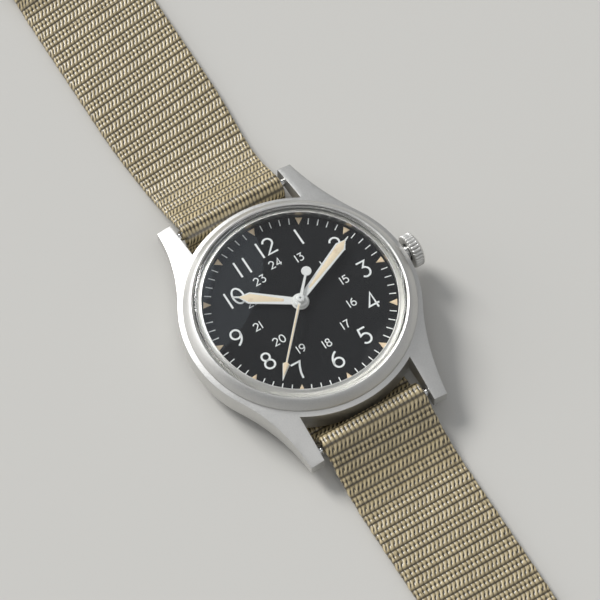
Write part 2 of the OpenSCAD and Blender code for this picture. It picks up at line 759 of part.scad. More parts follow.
module crown_wheel() color("silver") {
    top_z = stem_z - winding_r - 0.05;
    at(crown_wheel_p, head_z) difference() {
        union() {
            gear(crown_wheel_teeth, winding_m, 0.2, 0);
            cylinder(r = crown_wheel_r - 0.5, h = 0.6);
            tube(crown_wheel_r - 0.35, crown_wheel_r - 0.9, top_z - head_z);
        }
        translate([0, 0, -eps]) cylinder(r = 0.6 + fit_gap, h = 3);
    }
}

module click() color("silver") {
    reach = click_reach - winding_m - 0.12;
    at(click_p, head_z) {
        cylinder(r = 0.7, h = 0.2);
        rotate(-15) linear_extrude(height = 0.2)
            polygon([[0, -0.55], [reach - 0.3, -0.45], [reach, 0], [0, 0.55]]);
        cylinder(r = click_post_r, h = plate_z + 0.35 - head_z);
    }
}

// Going train

module center_wheel() color("goldenrod") {
    pinion_z = barrel_z + 0.6;
    translate([0, 0, center_z]) windowed_gear(center_teeth, center_m, wheel_t, 0, 0.3);
    translate([0, 0, pinion_z]) gear(center_pinion_teeth, barrel_m, center_z - pinion_z + eps, 0, 0.25);
    translate([0, 0, center_z]) tube(center_tube_r, 0.25, minute_hand_z - 0.1 - center_z);
}

module third_wheel() color("goldenrod") {
    pinion_turn = mesh_turn(0, center_teeth, third_a, third_pinion_teeth);
    at(third_p, 0) {
        translate([0, 0, third_z]) windowed_gear(third_teeth, third_m, wheel_t, third_a);
        translate([0, 0, center_z - 0.25]) gear(third_pinion_teeth, center_m, 0.5, pinion_turn);
        arbor(low_pivot_z, high_pivot_z);
    }
}

module fourth_wheel() color("goldenrod") {
    pinion_turn = mesh_turn(third_a, third_teeth, third_a + 180, fourth_pinion_teeth);
    pinion_l = third_z + wheel_t + 0.1 - fourth_z;
    translate([0, 0, fourth_z]) windowed_gear(fourth_teeth, escape_m, wheel_t, 0);
    translate([0, 0, fourth_z]) gear(fourth_pinion_teeth, third_m, pinion_l, pinion_turn);
    translate([0, 0, low_pivot_z]) cylinder(r = pivot_r, h = 1);
    translate([0, 0, fourth_z]) cylinder(r = 0.15, h = second_hand_z + hand_t + 0.25 - fourth_z);
}

module escape_wheel() color("silver") {
    pinion_turn = mesh_turn(0, fourth_teeth, escape_a, escape_pinion_teeth);
    at(escape_p, 0) {
        translate([0, 0, escape_z]) linear_extrude(height = wheel_t)
            polygon([for (i = [0:escape_teeth - 1])
                for (c = [[0, escape_r - 0.45], [14, escape_r], [16, escape_r]])
                    polar(c[1], lever_a + i * 24 + c[0] - 3)]);
        translate([0, 0, fourth_z - 0.04]) gear(escape_pinion_teeth, escape_m, 0.5, pinion_turn);
        arbor(low_pivot_z, high_pivot_z, 0.15);
    }
}

module pallet_fork() color("silver") {
    at(pallet_p, 0) {
        translate([0, 0, escape_z]) rotate(lever_a) linear_extrude(height = wheel_t) {
            polygon([[0, -0.2], [fork_l - 0.75, -0.1], [fork_l - 0.45, -0.3], [fork_l - 0.4, -0.12],
                     [fork_l - 0.62, -0.05], [fork_l - 0.62, 0.05], [fork_l - 0.4, 0.12],
                     [fork_l - 0.45, 0.3], [fork_l - 0.75, 0.1], [0, 0.2]]);
            polygon([[-0.15, -1.3], [-0.35, -1.3], [-0.2, 0], [-0.35, 1.3], [-0.15, 1.3], [0.2, 0]]);
        }
        translate([0, 0, escape_z - 0.02]) cylinder(r = 0.25, h = wheel_t + 0.04);
        arbor(pallet_bridge_z + 0.05, fork_pivot_z, 0.1);
    }
}

module balance_wheel() color("goldenrod") {
    at(balance_p, 0) {
        translate([0, 0, balance_z]) tube(balance_r, balance_r - 0.4, 0.3);
        translate([0, 0, balance_z + 0.05]) {
            cylinder(r = 0.5, h = 0.2);
            translate([-balance_r + 0.2, -0.15, 0]) cube([2 * balance_r - 0.4, 0.3, 0.2]);
        }
        arbor(low_pivot_z, fork_pivot_z, 0.15);
        translate([0, 0, escape_z + wheel_t + 0.05]) cylinder(r = 0.36, h = 0.15);
    }
}

module balance_spring() color("steelblue") {
    turns = 5;
    steps = 24 * turns;
    w = 0.04;
    at(balance_p, bridge_z + bridge_t + 0.1) linear_extrude(height = 0.15)
        polygon(concat(
            [for (i = [0:steps]) polar(0.45 + 1.3 * i / steps, 15 * i)],
            [for (i = [steps:-1:0]) polar(0.45 + w + 1.3 * i / steps, 15 * i)]));
}

// Dial work

module cannon_pinion() color("gray") {
    z = minute_wheel_z;
    translate([0, 0, z]) gear(cannon_teeth, work_m, 0.5, 0, center_tube_r);
    translate([0, 0, z + 0.4]) tube(cannon_r, center_tube_r, minute_hand_z + hand_t + 0.05 - z - 0.4);
}

module minute_wheel() color("goldenrod") {
    wheel_turn = mesh_turn(0, cannon_teeth, 0, minute_teeth);
    at([work_d, 0], 0) {
        translate([0, 0, minute_wheel_z]) gear(minute_teeth, work_m, 0.2, wheel_turn);
        translate([0, 0, minute_wheel_z])
            gear(minute_pinion_teeth, work_m, dial_z - 0.05 - minute_wheel_z, 0);
        translate([0, 0, dial_work_z - 0.28]) cylinder(r = arbor_r, h = 0.5);
    }
}

module hour_wheel() color("goldenrod") {
    wheel_turn = mesh_turn(0, minute_pinion_teeth, 180, hour_teeth);
    pipe_l = hour_hand_z + hand_t + 0.05 - hour_wheel_z;
    translate([0, 0, hour_wheel_z]) gear(hour_teeth, work_m, 0.2, wheel_turn, cannon_r + fit_gap);
    translate([0, 0, hour_wheel_z]) tube(hour_pipe_r, cannon_r + fit_gap, pipe_l);
}

// Dial and hands

module dial() color("black") {
    difference() {
        translate([0, 0, dial_z]) cylinder(r = dial_d / 2, h = dial_t, $fn = 180);
        translate([0, 0, dial_z - eps]) cylinder(r = dial_hole_r, h = 1);
    }
    for (p = dial_foot_places) at(p, dial_z - foot_l) cylinder(r = foot_r, h = foot_l + eps);
}

// Leaf of a hand: widens from the hub to a shoulder, then ends in a point with a fine needle
module hand_leaf(w0, w1, shoulder, point, length) {
    polygon([[-w0 / 2, 0.5], [-w1 / 2, shoulder], [-0.14, point], [-0.06, length], [0.06, length],
             [0.14, point], [w1 / 2, shoulder], [w0 / 2, 0.5]]);
}

module hour_hand() color("white") {
    difference() {
        translate([0, 0, hour_hand_z]) rotate(-hour_a) {
            linear_extrude(height = hand_t) hand_leaf(1.05, 1.75, hour_l * 0.75, hour_l * 0.885, hour_l);
            cylinder(r = 1.25, h = hand_t);
        }
        translate([0, 0, hour_hand_z - 1]) cylinder(r = hour_pipe_r, h = 2);
    }
}

module minute_hand() color("white") {
    difference() {
        translate([0, 0, minute_hand_z]) rotate(-minute_a) {
            linear_extrude(height = hand_t) hand_leaf(0.85, 1.6, minute_l * 0.84, minute_l * 0.93, minute_l);
            cylinder(r = 1.05, h = hand_t);
        }
        translate([0, 0, minute_hand_z - 1]) cylinder(r = cannon_r, h = 2);
    }
}

module second_hand() color("white") {
    head_y = second_l * 0.79;
    difference() {
        union() {
            translate([0, 0, second_hand_z]) rotate(-second_a) linear_extrude(height = hand_t) {
                polygon([[-0.16, -3.9], [-0.22, 0], [-0.13, head_y], [-0.5, head_y + 0.1], [-0.03, second_l],
                         [0.03, second_l], [0.5, head_y + 0.1], [0.13, head_y], [0.22, 0], [0.16, -3.9]]);
                translate([0, -4.4]) circle(r = 0.72);
                circle(r = 0.65);
            }
            translate([0, 0, second_hand_z - 0.12]) cylinder(r = 0.45, h = hand_t + 0.27);
        }
        translate([0, 0, second_hand_z - 1]) cylinder(r = 0.15, h = 2);
    }
}

// Spring bars

module at_bar(sy) {
    translate([0, sy * bar_y, bar_z]) rotate([0, 90, 0]) children();
}

module bar_tube(sy) {
    at_bar(sy) translate([0, 0, -tube_half]) tube(bar_r, tube_bore, 2 * tube_half);
}

module bar_tip(sx, sy) {
    translate([0, sy * bar_y, bar_z]) rotate([0, sx * 90, 0]) {
        translate([0, 0, tube_half - 1.2])
            cylinder(r = tube_bore - fit_gap, h = lug_in - tip_step - tube_half + 1.2);
        translate([0, 0, lug_in - 0.1]) cylinder(r = lug_hole_r - seat_gap, h = 1.05);
    }
}

// Coil spring: a square wire swept along a helix
module bar_spring(sy) {
    wire = 0.12;
    coil_r = 0.45;
    turns = 12;
    per_turn = 10;
    half = tube_half - 2.5;
    count = turns * per_turn;
    rings = [for (i = [0:count]) let (a = 360 * i / per_turn, x = -half + 2 * half * i / count)
        for (c = [[-1, -1], [1, -1], [1, 1], [-1, 1]])
            [x + c[0] * wire / 2, (coil_r + c[1] * wire / 2) * cos(a), (coil_r + c[1] * wire / 2) * sin(a)]];
    sides = [for (i = [0:count - 1]) for (k = [0:3]) let (a = 4 * i + k, b = 4 * i + (k + 1) % 4)
        for (f = [[a, a + 4, b + 4], [a, b + 4, b]]) f];
    translate([0, sy * bar_y, bar_z])
        polyhedron(points = rings, faces = concat([[0, 1, 2], [0, 2, 3]], sides,
            [for (f = [[3, 2, 1], [3, 1, 0]]) [for (v = f) 4 * count + v]]), convexity = 10);
}

// Strap

function center_half() = concat(
    [[0, z0]],
    arc([bar_y - wrap_r - dive_r, z0 + dive_r], dive_r, -90, 0, 8),
    arc([bar_y, bar_z], wrap_r, 180, 90 + split_a, 8));

function arm_start() = concat(
    arc([bar_y, bar_z], wrap_r, 90 - split_a, 90 - slope_a, 5),
    arc(sag_start + polar(sag_r, 90 - slope_a), sag_r, -90 - slope_a, -90, 6));

function buckle_path() = concat(
    arm_start(),
    ease([slide_y0 - rise_l, z0], [slide_y0, raised_z], 8),
    ease([slide_y1, raised_z], [slide_y1 + 4, double_z], 6),
    ease([buckle_y - rise_l, double_z], [buckle_y, pin_z + loop_r], 8),
    arc([buckle_y, pin_z], loop_r, 75, -90, 12),
    [[fold_y, raised_z]]);

module strap_center() color("darkkhaki") {
    half = center_half();
    side_extrude(strap_w) polygon(ribbon(concat(flip(half), [for (i = [1:len(half) - 1]) half[i]]), strap_t));
}

// Outline of the buckle side seen from above: as wide as the gap between the lugs lets it, then wider
function spread_plan() = let (edge = concat([[0, strap_w / 2]],
        ease([spread_y, strap_w / 2], [spread_y + spread_l, spread_w / 2], 8), [[buckle_y + 5, spread_w / 2]]))
    concat([for (q = edge) [q[1], q[0]]], [for (i = [len(edge) - 1:-1:0]) [-edge[i][1], edge[i][0]]]);

module strap_buckle_side() color("darkkhaki") {
    difference() {
        intersection() {
            side_extrude(spread_w) polygon(ribbon(buckle_path(), strap_t));
            linear_extrude(height = 2 * pin_z) polygon(spread_plan());
        }
        translate([-tongue_slot_w / 2, buckle_y - tongue_slot_l, pin_z - loop_r - 2])
            cube([tongue_slot_w, tongue_slot_l + 10, 2 * loop_r + 4]);
    }
}

module strap_tail_side() color("darkkhaki") {
    flat_y = floor_y + 1;
    tip_y = tail_y - strap_w / 2;
    rotate(180) difference() {
        union() {
            side_extrude(strap_w) polygon(ribbon(concat(arm_start(), [[flat_y, z0]]), strap_t));
            translate([-strap_w / 2, flat_y, 0]) cube([strap_w, tip_y - flat_y, strap_t]);
            translate([0, tip_y, 0]) cylinder(r = strap_w / 2, h = strap_t);
        }
        for (i = [0:hole_count - 1])
            translate([0, first_hole_y - i * hole_pitch, -1])
                cylinder(r = hole_d / 2, h = strap_t + 2, $fn = 32);
    }
}

module keeper(y, room_h) {
    w = spread_w + 2 * strap_gap + 0.4;
    translate([0, y, 0]) side_extrude_y(keeper_l) difference() {
        translate([-w / 2 - keeper_t, 0]) square([w + 2 * keeper_t, room_h + 2 * keeper_t]);
        translate([-w / 2, keeper_t]) square([w, room_h]);
    }
}

module side_extrude_y(l) {
    rotate([90, 0, 0]) linear_extrude(height = l, center = true) children();
}

module fixed_keeper() color("darkkhaki") {
    keeper(fixed_keeper_y, 3 * strap_t + 4 * strap_gap);
}

module sliding_keeper() color("darkkhaki") {
    keeper(sliding_keeper_y, 2 * strap_t + 3 * strap_gap);
}

// Buckle

// Places buckle parts on the strap's bar, tilted until the frame's front rests on the floor
module at_buckle() {
    translate([0, buckle_y, pin_z]) rotate([-buckle_tilt, 0, 0]) children();
}

module buckle_frame() color("silver") {
    out = buckle_in_w / 2 + frame_arm_w;
    corner_r = 1;
    at_buckle() difference() {
        union() {
            for (sx = [-1, 1]) translate([sx * (buckle_in_w + frame_arm_w) / 2, 0, 0]) {
                rotate([0, 90, 0]) cylinder(r = 1.2, h = frame_arm_w, center = true);
                translate([-frame_arm_w / 2, 0, -buckle_t / 2])
                    cube([frame_arm_w, buckle_in_l + 0.5, buckle_t]);
            }
            translate([-out + corner_r, buckle_in_l, -buckle_t / 2])
                cube([2 * (out - corner_r), frame_arm_w, buckle_t]);
            for (sx = [-1, 1])
                translate([sx * (out - corner_r), buckle_in_l + frame_arm_w - corner_r, -buckle_t / 2])
                    cylinder(r = corner_r, h = buckle_t);
        }
        rotate([0, 90, 0]) cylinder(r = 0.5, h = 4 * out, center = true);
    }
}

module buckle_bar() color("gray") {
    at_buckle() rotate([0, 90, 0]) {
        cylinder(r = pin_r, h = buckle_in_w, center = true);
        cylinder(r = 0.5, h = buckle_in_w + 2 * frame_arm_w - 0.4, center = true);
    }
}

module buckle_tongue() color("silver") {
    low = pin_r + 0.12;
    rise = buckle_t / 2 + seat_gap;
    at_buckle() difference() {
        union() {
            rotate([0, 90, 0]) cylinder(r = pin_r + 0.75, h = tongue_w, center = true);
            side_extrude(tongue_w) polygon([[0, low], [buckle_in_l, rise], [buckle_in_l + 2, rise],
                [buckle_in_l + 2.2, rise + 0.3], [buckle_in_l + 2, rise + 0.6], [0, pin_r + 0.75]]);
        }
        rotate([0, 90, 0]) cylinder(r = pin_r + fit_gap, h = 10, center = true);
    }
}

case_middle();
bezel();
crystal();
tension_ring();
case_back();
back_gasket();
movement_ring();
crown_tube();
dial();
hour_hand();
minute_hand();
second_hand();
crown();
crown_gasket();
winding_stem();
winding_pinion();
sliding_pinion();
setting_lever();
yoke();
setting_wheel();
main_plate();
barrel_bridge();
train_bridge();
balance_cock();
pallet_bridge();
barrel_drum();
barrel_cover();
barrel_arbor();
mainspring();
ratchet_wheel();
crown_wheel();
click();
center_wheel();
third_wheel();
fourth_wheel();
escape_wheel();
pallet_fork();
balance_wheel();
balance_spring();
cannon_pinion();
minute_wheel();
hour_wheel();
jewels();
bridge_screws();
color("silver") bar_tube(1);  // bar_tube_12
color("silver") bar_tube(-1);  // bar_tube_6
color("gray") bar_spring(1);  // bar_spring_12
color("gray") bar_spring(-1);  // bar_spring_6
color("silver") bar_tip(-1, 1);  // tip_12_left
color("silver") bar_tip(1, 1);  // tip_12_right
color("silver") bar_tip(-1, -1);  // tip_6_left
color("silver") bar_tip(1, -1);  // tip_6_right
strap_center();
strap_buckle_side();
strap_tail_side();
fixed_keeper();
sliding_keeper();
buckle_frame();
buckle_bar();
buckle_tongue();
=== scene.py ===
"""Looks of the field wristwatch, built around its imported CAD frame.

Lengths are in millimetres until a mesh is made.
"""

import json
import math

import bpy
import numpy as np
from mathutils import Matrix, Vector


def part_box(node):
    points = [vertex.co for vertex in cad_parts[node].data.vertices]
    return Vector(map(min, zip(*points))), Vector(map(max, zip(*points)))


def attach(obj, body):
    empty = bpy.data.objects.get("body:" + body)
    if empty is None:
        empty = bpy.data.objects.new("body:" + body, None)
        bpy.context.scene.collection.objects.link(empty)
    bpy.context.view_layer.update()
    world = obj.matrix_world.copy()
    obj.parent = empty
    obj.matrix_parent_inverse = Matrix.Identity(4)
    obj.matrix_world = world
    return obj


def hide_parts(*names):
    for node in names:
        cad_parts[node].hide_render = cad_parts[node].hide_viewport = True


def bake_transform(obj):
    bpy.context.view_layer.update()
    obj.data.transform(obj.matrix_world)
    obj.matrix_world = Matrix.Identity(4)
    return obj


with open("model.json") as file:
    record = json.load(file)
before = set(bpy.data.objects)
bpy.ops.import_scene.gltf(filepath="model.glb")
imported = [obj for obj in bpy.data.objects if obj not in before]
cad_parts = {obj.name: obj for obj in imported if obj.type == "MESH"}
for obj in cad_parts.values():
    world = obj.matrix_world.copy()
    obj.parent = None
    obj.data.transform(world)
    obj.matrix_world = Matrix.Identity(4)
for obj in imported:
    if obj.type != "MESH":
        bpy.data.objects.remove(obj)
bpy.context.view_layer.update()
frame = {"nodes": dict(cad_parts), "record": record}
NODES = frame["nodes"]
MM = 0.001


def low(node):
    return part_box(node)[0] / MM


def high(node):
    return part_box(node)[1] / MM


# Places that the CAD frame gives
BAR_Y = (low("bar_tube_12").y + high("bar_tube_12").y) / 2
BAR_Z = (low("bar_tube_12").z + high("bar_tube_12").z) / 2
BAR_R = (high("bar_tube_12").z - low("bar_tube_12").z) / 2
CASE_TOP = low("bezel").z
CRYSTAL_R = high("crystal").x
CRYSTAL_Z = low("crystal").z
CRYSTAL_TOP = high("crystal").z
BEZEL_R = high("bezel").x
BEZEL_TOP = high("bezel").z
DIAL_TOP = high("dial").z
HOUR_Z = high("hour_hand").z
MINUTE_Z = high("minute_hand").z
SECOND_Z = high("second_hand").z
STEM_Z = (low("crown").z + high("crown").z) / 2
CROWN_R = (high("crown").z - low("crown").z) / 2
CROWN_X = low("crown").x
CROWN_END = high("crown").x
STRAP_HALF = high("strap_center").x
SPREAD_HALF = high("strap_buckle_side").x
PIN_Y = (low("buckle_bar").y + high("buckle_bar").y) / 2
PIN_Z = (low("buckle_bar").z + high("buckle_bar").z) / 2
TAIL_Y = -low("strap_tail_side").y

# The strap's run, as in the CAD
STRAP_T = 1.2
STRAP_GAP = 0.1
MID_Z = STRAP_T / 2
WRAP_R = BAR_R + STRAP_GAP + STRAP_T / 2
DIVE_R = 2.2
SLOPE = 30
SAG_R = 18
SPREAD_Y = BAR_Y + 4
SPREAD_L = 18
KEEPER_T = 0.8
RAISED_Z = KEEPER_T + STRAP_GAP + MID_Z
DOUBLE_Z = RAISED_Z + STRAP_T + STRAP_GAP
PIN_R = 0.8
LOOP_R = PIN_R + STRAP_GAP + STRAP_T / 2
FOLD_Y = PIN_Y - 17
SLIDE_Y0 = PIN_Y - 34
SLIDE_Y1 = FOLD_Y - 5
SPLIT_Y = 60
HOLE_R = 0.95
HOLE_PITCH = 7
HOLE_COUNT = 9

# Directions of the hands, degrees clockwise from 12 o'clock
HOUR_A = 305.4
MINUTE_A = 64.8
SECOND_A = 222

random = np.random.RandomState(7)


# Materials

def new_material(name, base, metallic=0.0, rough=0.5):
    mat = bpy.data.materials.new(name)
    mat.use_nodes = True
    bsdf = mat.node_tree.nodes["Principled BSDF"]
    bsdf.inputs["Base Color"].default_value = (*base, 1)
    bsdf.inputs["Metallic"].default_value = metallic
    bsdf.inputs["Roughness"].default_value = rough
    mat.diffuse_color = (*base, 1)
    return mat, mat.node_tree, bsdf


def add(tree, kind, props=None, **inputs):
    """A shader node. An input, named or numbered as i0, is given a value, or a socket to link."""
    made = tree.nodes.new("ShaderNode" + kind)
    for key, value in (props or {}).items():
        setattr(made, key, value)
    for key, value in inputs.items():
        numbered = key[0] == "i" and key[1:].isdigit()
        socket = made.inputs[int(key[1:]) if numbered else key.replace("_", " ")]
        if isinstance(value, bpy.types.NodeSocket):
            tree.links.new(value, socket)
        else:
            socket.default_value = value
    return made


def object_noise(tree, scale, detail=2.0, stretch=(1, 1, 1), rough=0.5):
    """Noise in the object's own coordinates, with scale in features per metre."""
    coords = add(tree, "TexCoord").outputs["Object"]
    mapped = add(tree, "Mapping", Vector=coords, Scale=stretch).outputs["Vector"]
    return add(tree, "TexNoise", Vector=mapped, Scale=scale, Detail=detail, Roughness=rough).outputs["Fac"]


def spread(tree, fac, low_value, high_value, start=0.3, end=0.7):
    """Maps a 0 to 1 pattern to a range of values."""
    made = add(tree, "MapRange", Value=fac, From_Min=start, From_Max=end, To_Min=low_value, To_Max=high_value)
    return made.outputs["Result"]


def two_colours(tree, fac, first, second):
    mix = add(tree, "Mix", {"data_type": "RGBA"}, Factor=fac)
    mix.inputs[6].default_value = (*first, 1)
    mix.inputs[7].default_value = (*second, 1)
    return mix.outputs[2]


def bump(tree, bsdf, height, strength, distance):
    made = add(tree, "Bump", Height=height, Strength=strength, Distance=distance)
    tree.links.new(made.outputs["Normal"], bsdf.inputs["Normal"])
    return made


def metal(name, base, rough, grain=9000, depth=0.25, stretch=(1, 1, 1), shade=0.06):
    """Metal with a fine grain in its surface and a slow change in its shine."""
    mat, tree, bsdf = new_material(name, base, 1.0, rough)
    slow = object_noise(tree, 220, 3)
    fine = object_noise(tree, grain, 2, stretch)
    both = add(tree, "Mix", i0=0.6, i2=slow, i3=fine).outputs[0]
    darker = tuple(c * (1 - shade) for c in base)
    lighter = tuple(min(1, c * (1 + shade)) for c in base)
    tree.links.new(two_colours(tree, both, darker, lighter), bsdf.inputs["Base Color"])
    tree.links.new(spread(tree, fine, rough - 0.05, rough + 0.06), bsdf.inputs["Roughness"])
    bump(tree, bsdf, fine, depth, 0.00002)
    return mat


def turned_metal(name, base, rough, depth=0.3):
    """Metal with fine rings from turning, round the Z axis."""
    mat, tree, bsdf = new_material(name, base, 1.0, rough)
    coords = add(tree, "TexCoord").outputs["Object"]
    flat = add(tree, "VectorMath", {"operation": "MULTIPLY"}, i0=coords, i1=(1, 1, 0)).outputs[0]
    radius = add(tree, "VectorMath", {"operation": "LENGTH"}, i0=flat).outputs["Value"]
    rings = add(tree, "TexNoise", {"noise_dimensions": "1D"}, W=radius, Scale=14000, Detail=2).outputs["Fac"]
    tree.links.new(spread(tree, rings, rough - 0.06, rough + 0.08), bsdf.inputs["Roughness"])
    tree.links.new(two_colours(tree, rings, tuple(c * 0.93 for c in base), base), bsdf.inputs["Base Color"])
    bump(tree, bsdf, rings, depth, 0.00002)
    return mat


def paint(name, base, rough, grain=5000, depth=0.1, shade=0.05, specular=0.5):
    """Paint or lacquer with a faint grain."""
    mat, tree, bsdf = new_material(name, base, 0.0, rough)
    bsdf.inputs["Specular IOR Level"].default_value = specular
    fine = object_noise(tree, grain, 3)
    darker = tuple(c * (1 - shade) for c in base)
    lighter = tuple(min(1, c * (1 + shade)) for c in base)
    tree.links.new(two_colours(tree, fine, darker, lighter), bsdf.inputs["Base Color"])
    tree.links.new(spread(tree, fine, rough - 0.04, rough + 0.04), bsdf.inputs["Roughness"])
    bump(tree, bsdf, fine, depth, 0.00001)
    return mat


def lume(name, base, stain):
    """Granular luminous filling that has aged to cream, with a few darker stains."""
    mat, tree, bsdf = new_material(name, base, 0.0, 0.75)
    grains = object_noise(tree, 9000, 2)
    patches = object_noise(tree, 900, 2)
    aged = two_colours(tree, spread(tree, patches, 0, 1, 0.6, 0.85), base, stain)
    speck = add(tree, "Mix", {"data_type": "RGBA", "blend_type": "MULTIPLY"}, Factor=0.35)
    tree.links.new(aged, speck.inputs[6])
    tree.links.new(two_colours(tree, grains, (0.75, 0.72, 0.66), (1, 1, 1)), speck.inputs[7])
    tree.links.new(speck.outputs[2], bsdf.inputs["Base Color"])
    bump(tree, bsdf, grains, 0.5, 0.00003)
    return mat


def clear(name, ior):
    """Clear acrylic that lets the lamps' light through to the dial."""
    mat, tree, bsdf = new_material(name, (1, 1, 1), 0.0, 0.0)
    bsdf.inputs["Transmission Weight"].default_value = 1.0
    bsdf.inputs["IOR"].default_value = ior
    haze = object_noise(tree, 300, 2)
    tree.links.new(two_colours(tree, haze, (0.985, 0.99, 0.985), (1, 1, 1)), bsdf.inputs["Base Color"])
    path = add(tree, "LightPath")
    through = add(tree, "BsdfTransparent", Color=(0.97, 0.98, 0.98, 1))
    either = add(tree, "Math", {"operation": "MAXIMUM"}, i0=path.outputs["Is Shadow Ray"],
                 i1=path.outputs["Is Diffuse Ray"])
    mix = add(tree, "MixShader", i0=either.outputs[0], i1=bsdf.outputs[0], i2=through.outputs[0])
    tree.links.new(mix.outputs[0], tree.nodes["Material Output"].inputs["Surface"])
    return mat


def webbing(name, painted_shade, base, tip):
    """Nylon webbing: the mesh's attributes paint shade into the gaps and a highlight on the yarns' tops, and fine
    filaments run along each yarn.
    """
    mat, tree, bsdf = new_material(name, base, 0.0, 0.35)
    bsdf.inputs["Specular IOR Level"].default_value = 0.9
    bsdf.inputs["Sheen Weight"].default_value = 0.06
    bsdf.inputs["Sheen Roughness"].default_value = 0.4
    crevice_shade = add(tree, "Attribute", {"attribute_name": "crevice_shade"}).outputs["Fac"]
    crest = add(tree, "Attribute", {"attribute_name": "crest"}).outputs["Fac"]
    place = add(tree, "Attribute", {"attribute_name": "weave"}).outputs["Vector"]
    along = add(tree, "Mapping", Vector=place, Scale=(14, 2.5, 1)).outputs["Vector"]
    filaments = add(tree, "TexNoise", Vector=along, Scale=1.0, Detail=2).outputs["Fac"]
    drift = add(tree, "TexNoise", Vector=place, Scale=0.12, Detail=2).outputs["Fac"]
    # Filament streaks plus a painted highlight: the yarns' tops lighten from base towards tip by their crest height.
    lit = add(tree, "Math", {"operation": "MULTIPLY_ADD"}, i0=filaments, i1=0.5,
              i2=spread(tree, crest, -0.3, 0.75, 0.35, 1.0))
    body = two_colours(tree, lit.outputs[0], base, tip)
    # Painted shade: the gaps darken towards the shade colour by the mesh's shade attribute.
    shaded = add(tree, "Mix", {"data_type": "RGBA"}, Factor=crevice_shade)
    tree.links.new(body, shaded.inputs[6])
    shaded.inputs[7].default_value = (*painted_shade, 1)
    tone = add(tree, "Mix", {"data_type": "RGBA", "blend_type": "MULTIPLY"}, Factor=1.0)
    tree.links.new(shaded.outputs[2], tone.inputs[6])
    tree.links.new(two_colours(tree, drift, (0.88, 0.88, 0.86), (1, 1, 1)), tone.inputs[7])
    tree.links.new(tone.outputs[2], bsdf.inputs["Base Color"])
    tree.links.new(spread(tree, filaments, 0.26, 0.42), bsdf.inputs["Roughness"])
    bump(tree, bsdf, filaments, 0.5, 0.00003)
    return mat


STEEL = (0.68, 0.675, 0.655)
MATERIALS = {
    "satin_steel": metal("bead_blasted_steel", STEEL, 0.46, 5000, 0.9, shade=0.16),
    "steel": metal("machined_steel", (0.6, 0.6, 0.59), 0.25, 6000, 0.15),
    "plated_brass": metal("rhodium_plate", (0.72, 0.71, 0.68), 0.3, 30000, 0.02, shade=0.02),
    "gilt_brass": metal("gilt_brass", (0.78, 0.6, 0.3), 0.28, 6000, 0.15),
    "dial_black": paint("matt_black_lacquer", (0.007, 0.0075, 0.0085), 0.5, 7000, 0.04, 0.2, 0.05),
    "hand_white": paint("white_enamel", (0.82, 0.82, 0.8), 0.35),
    "rubber": paint("black_rubber", (0.02, 0.02, 0.02), 0.7),
    "ruby": paint("synthetic_ruby", (0.45, 0.01, 0.06), 0.12),
    "crystal": clear("clear_acrylic", 1.49),
    # Webbing colours: painted shade in the gaps, the yarn's own colour, and the painted highlight on the yarns'
    # tops.
    "webbing": webbing("drab_nylon", (0.012, 0.008, 0.003), (0.15, 0.111, 0.046), (0.74, 0.61, 0.36)),
}
PRINT_WHITE = paint("dial_print_white", (0.86, 0.87, 0.86), 0.5)
LUME_CREAM = lume("aged_lume_cream", (0.9, 0.75, 0.54), (0.62, 0.43, 0.27))
LUME_TAN = lume("aged_lume_tan", (0.76, 0.6, 0.41), (0.55, 0.37, 0.22))
RING_SILVER = turned_metal("ring_silver", (0.82, 0.81, 0.78), 0.36, 0.04)
POLISHED = metal("polished_steel", (0.7, 0.7, 0.69), 0.12, 4000, 0.05)
TURNED = turned_metal("turned_steel", (0.6, 0.6, 0.59), 0.3)
BLUED = metal("blued_steel", (0.06, 0.09, 0.3), 0.2, 6000, 0.1)
MELTED = paint("heat_sealed_nylon", (0.11, 0.088, 0.05), 0.35, 4000, 0.3)


# Meshes

def mesh_object(name, points, faces, material, smooth=35):
    """A mesh object from points in millimetres, shaded smooth up to an angle in degrees."""
    data = bpy.data.meshes.new(name)
    data.from_pydata([tuple(float(c) * MM for c in p) for p in points], [], faces)
    data.validate()
    data.shade_smooth()
    data.set_sharp_from_angle(angle=math.radians(smooth))
    data.materials.append(material)
    made = bpy.data.objects.new(name, data)
    bpy.context.scene.collection.objects.link(made)
    return made


def fillet(profile, radius, steps=4):
    """Rounds the corners of a closed outline. Each point is (x, y) or (x, y, radius)."""
    made = []
    count = len(profile)
    for i, corner in enumerate(profile):
        r = corner[2] if len(corner) > 2 else radius
        p = np.array(corner[:2], float)
        a = np.array(profile[i - 1][:2], float) - p
        b = np.array(profile[(i + 1) % count][:2], float) - p
        la, lb = np.linalg.norm(a), np.linalg.norm(b)
        a, b = a / la, b / lb
        angle = math.acos(max(-1, min(1, float(a @ b))))
        if r <= 0 or angle > math.radians(175):
            made.append(tuple(p))
            continue
        cut = min(r / math.tan(angle / 2), 0.45 * la, 0.45 * lb)
        for k in range(steps + 1):
            t = k / steps
            made.append(tuple(p + a * cut * (1 - t) ** 2 + b * cut * t ** 2))
    return made


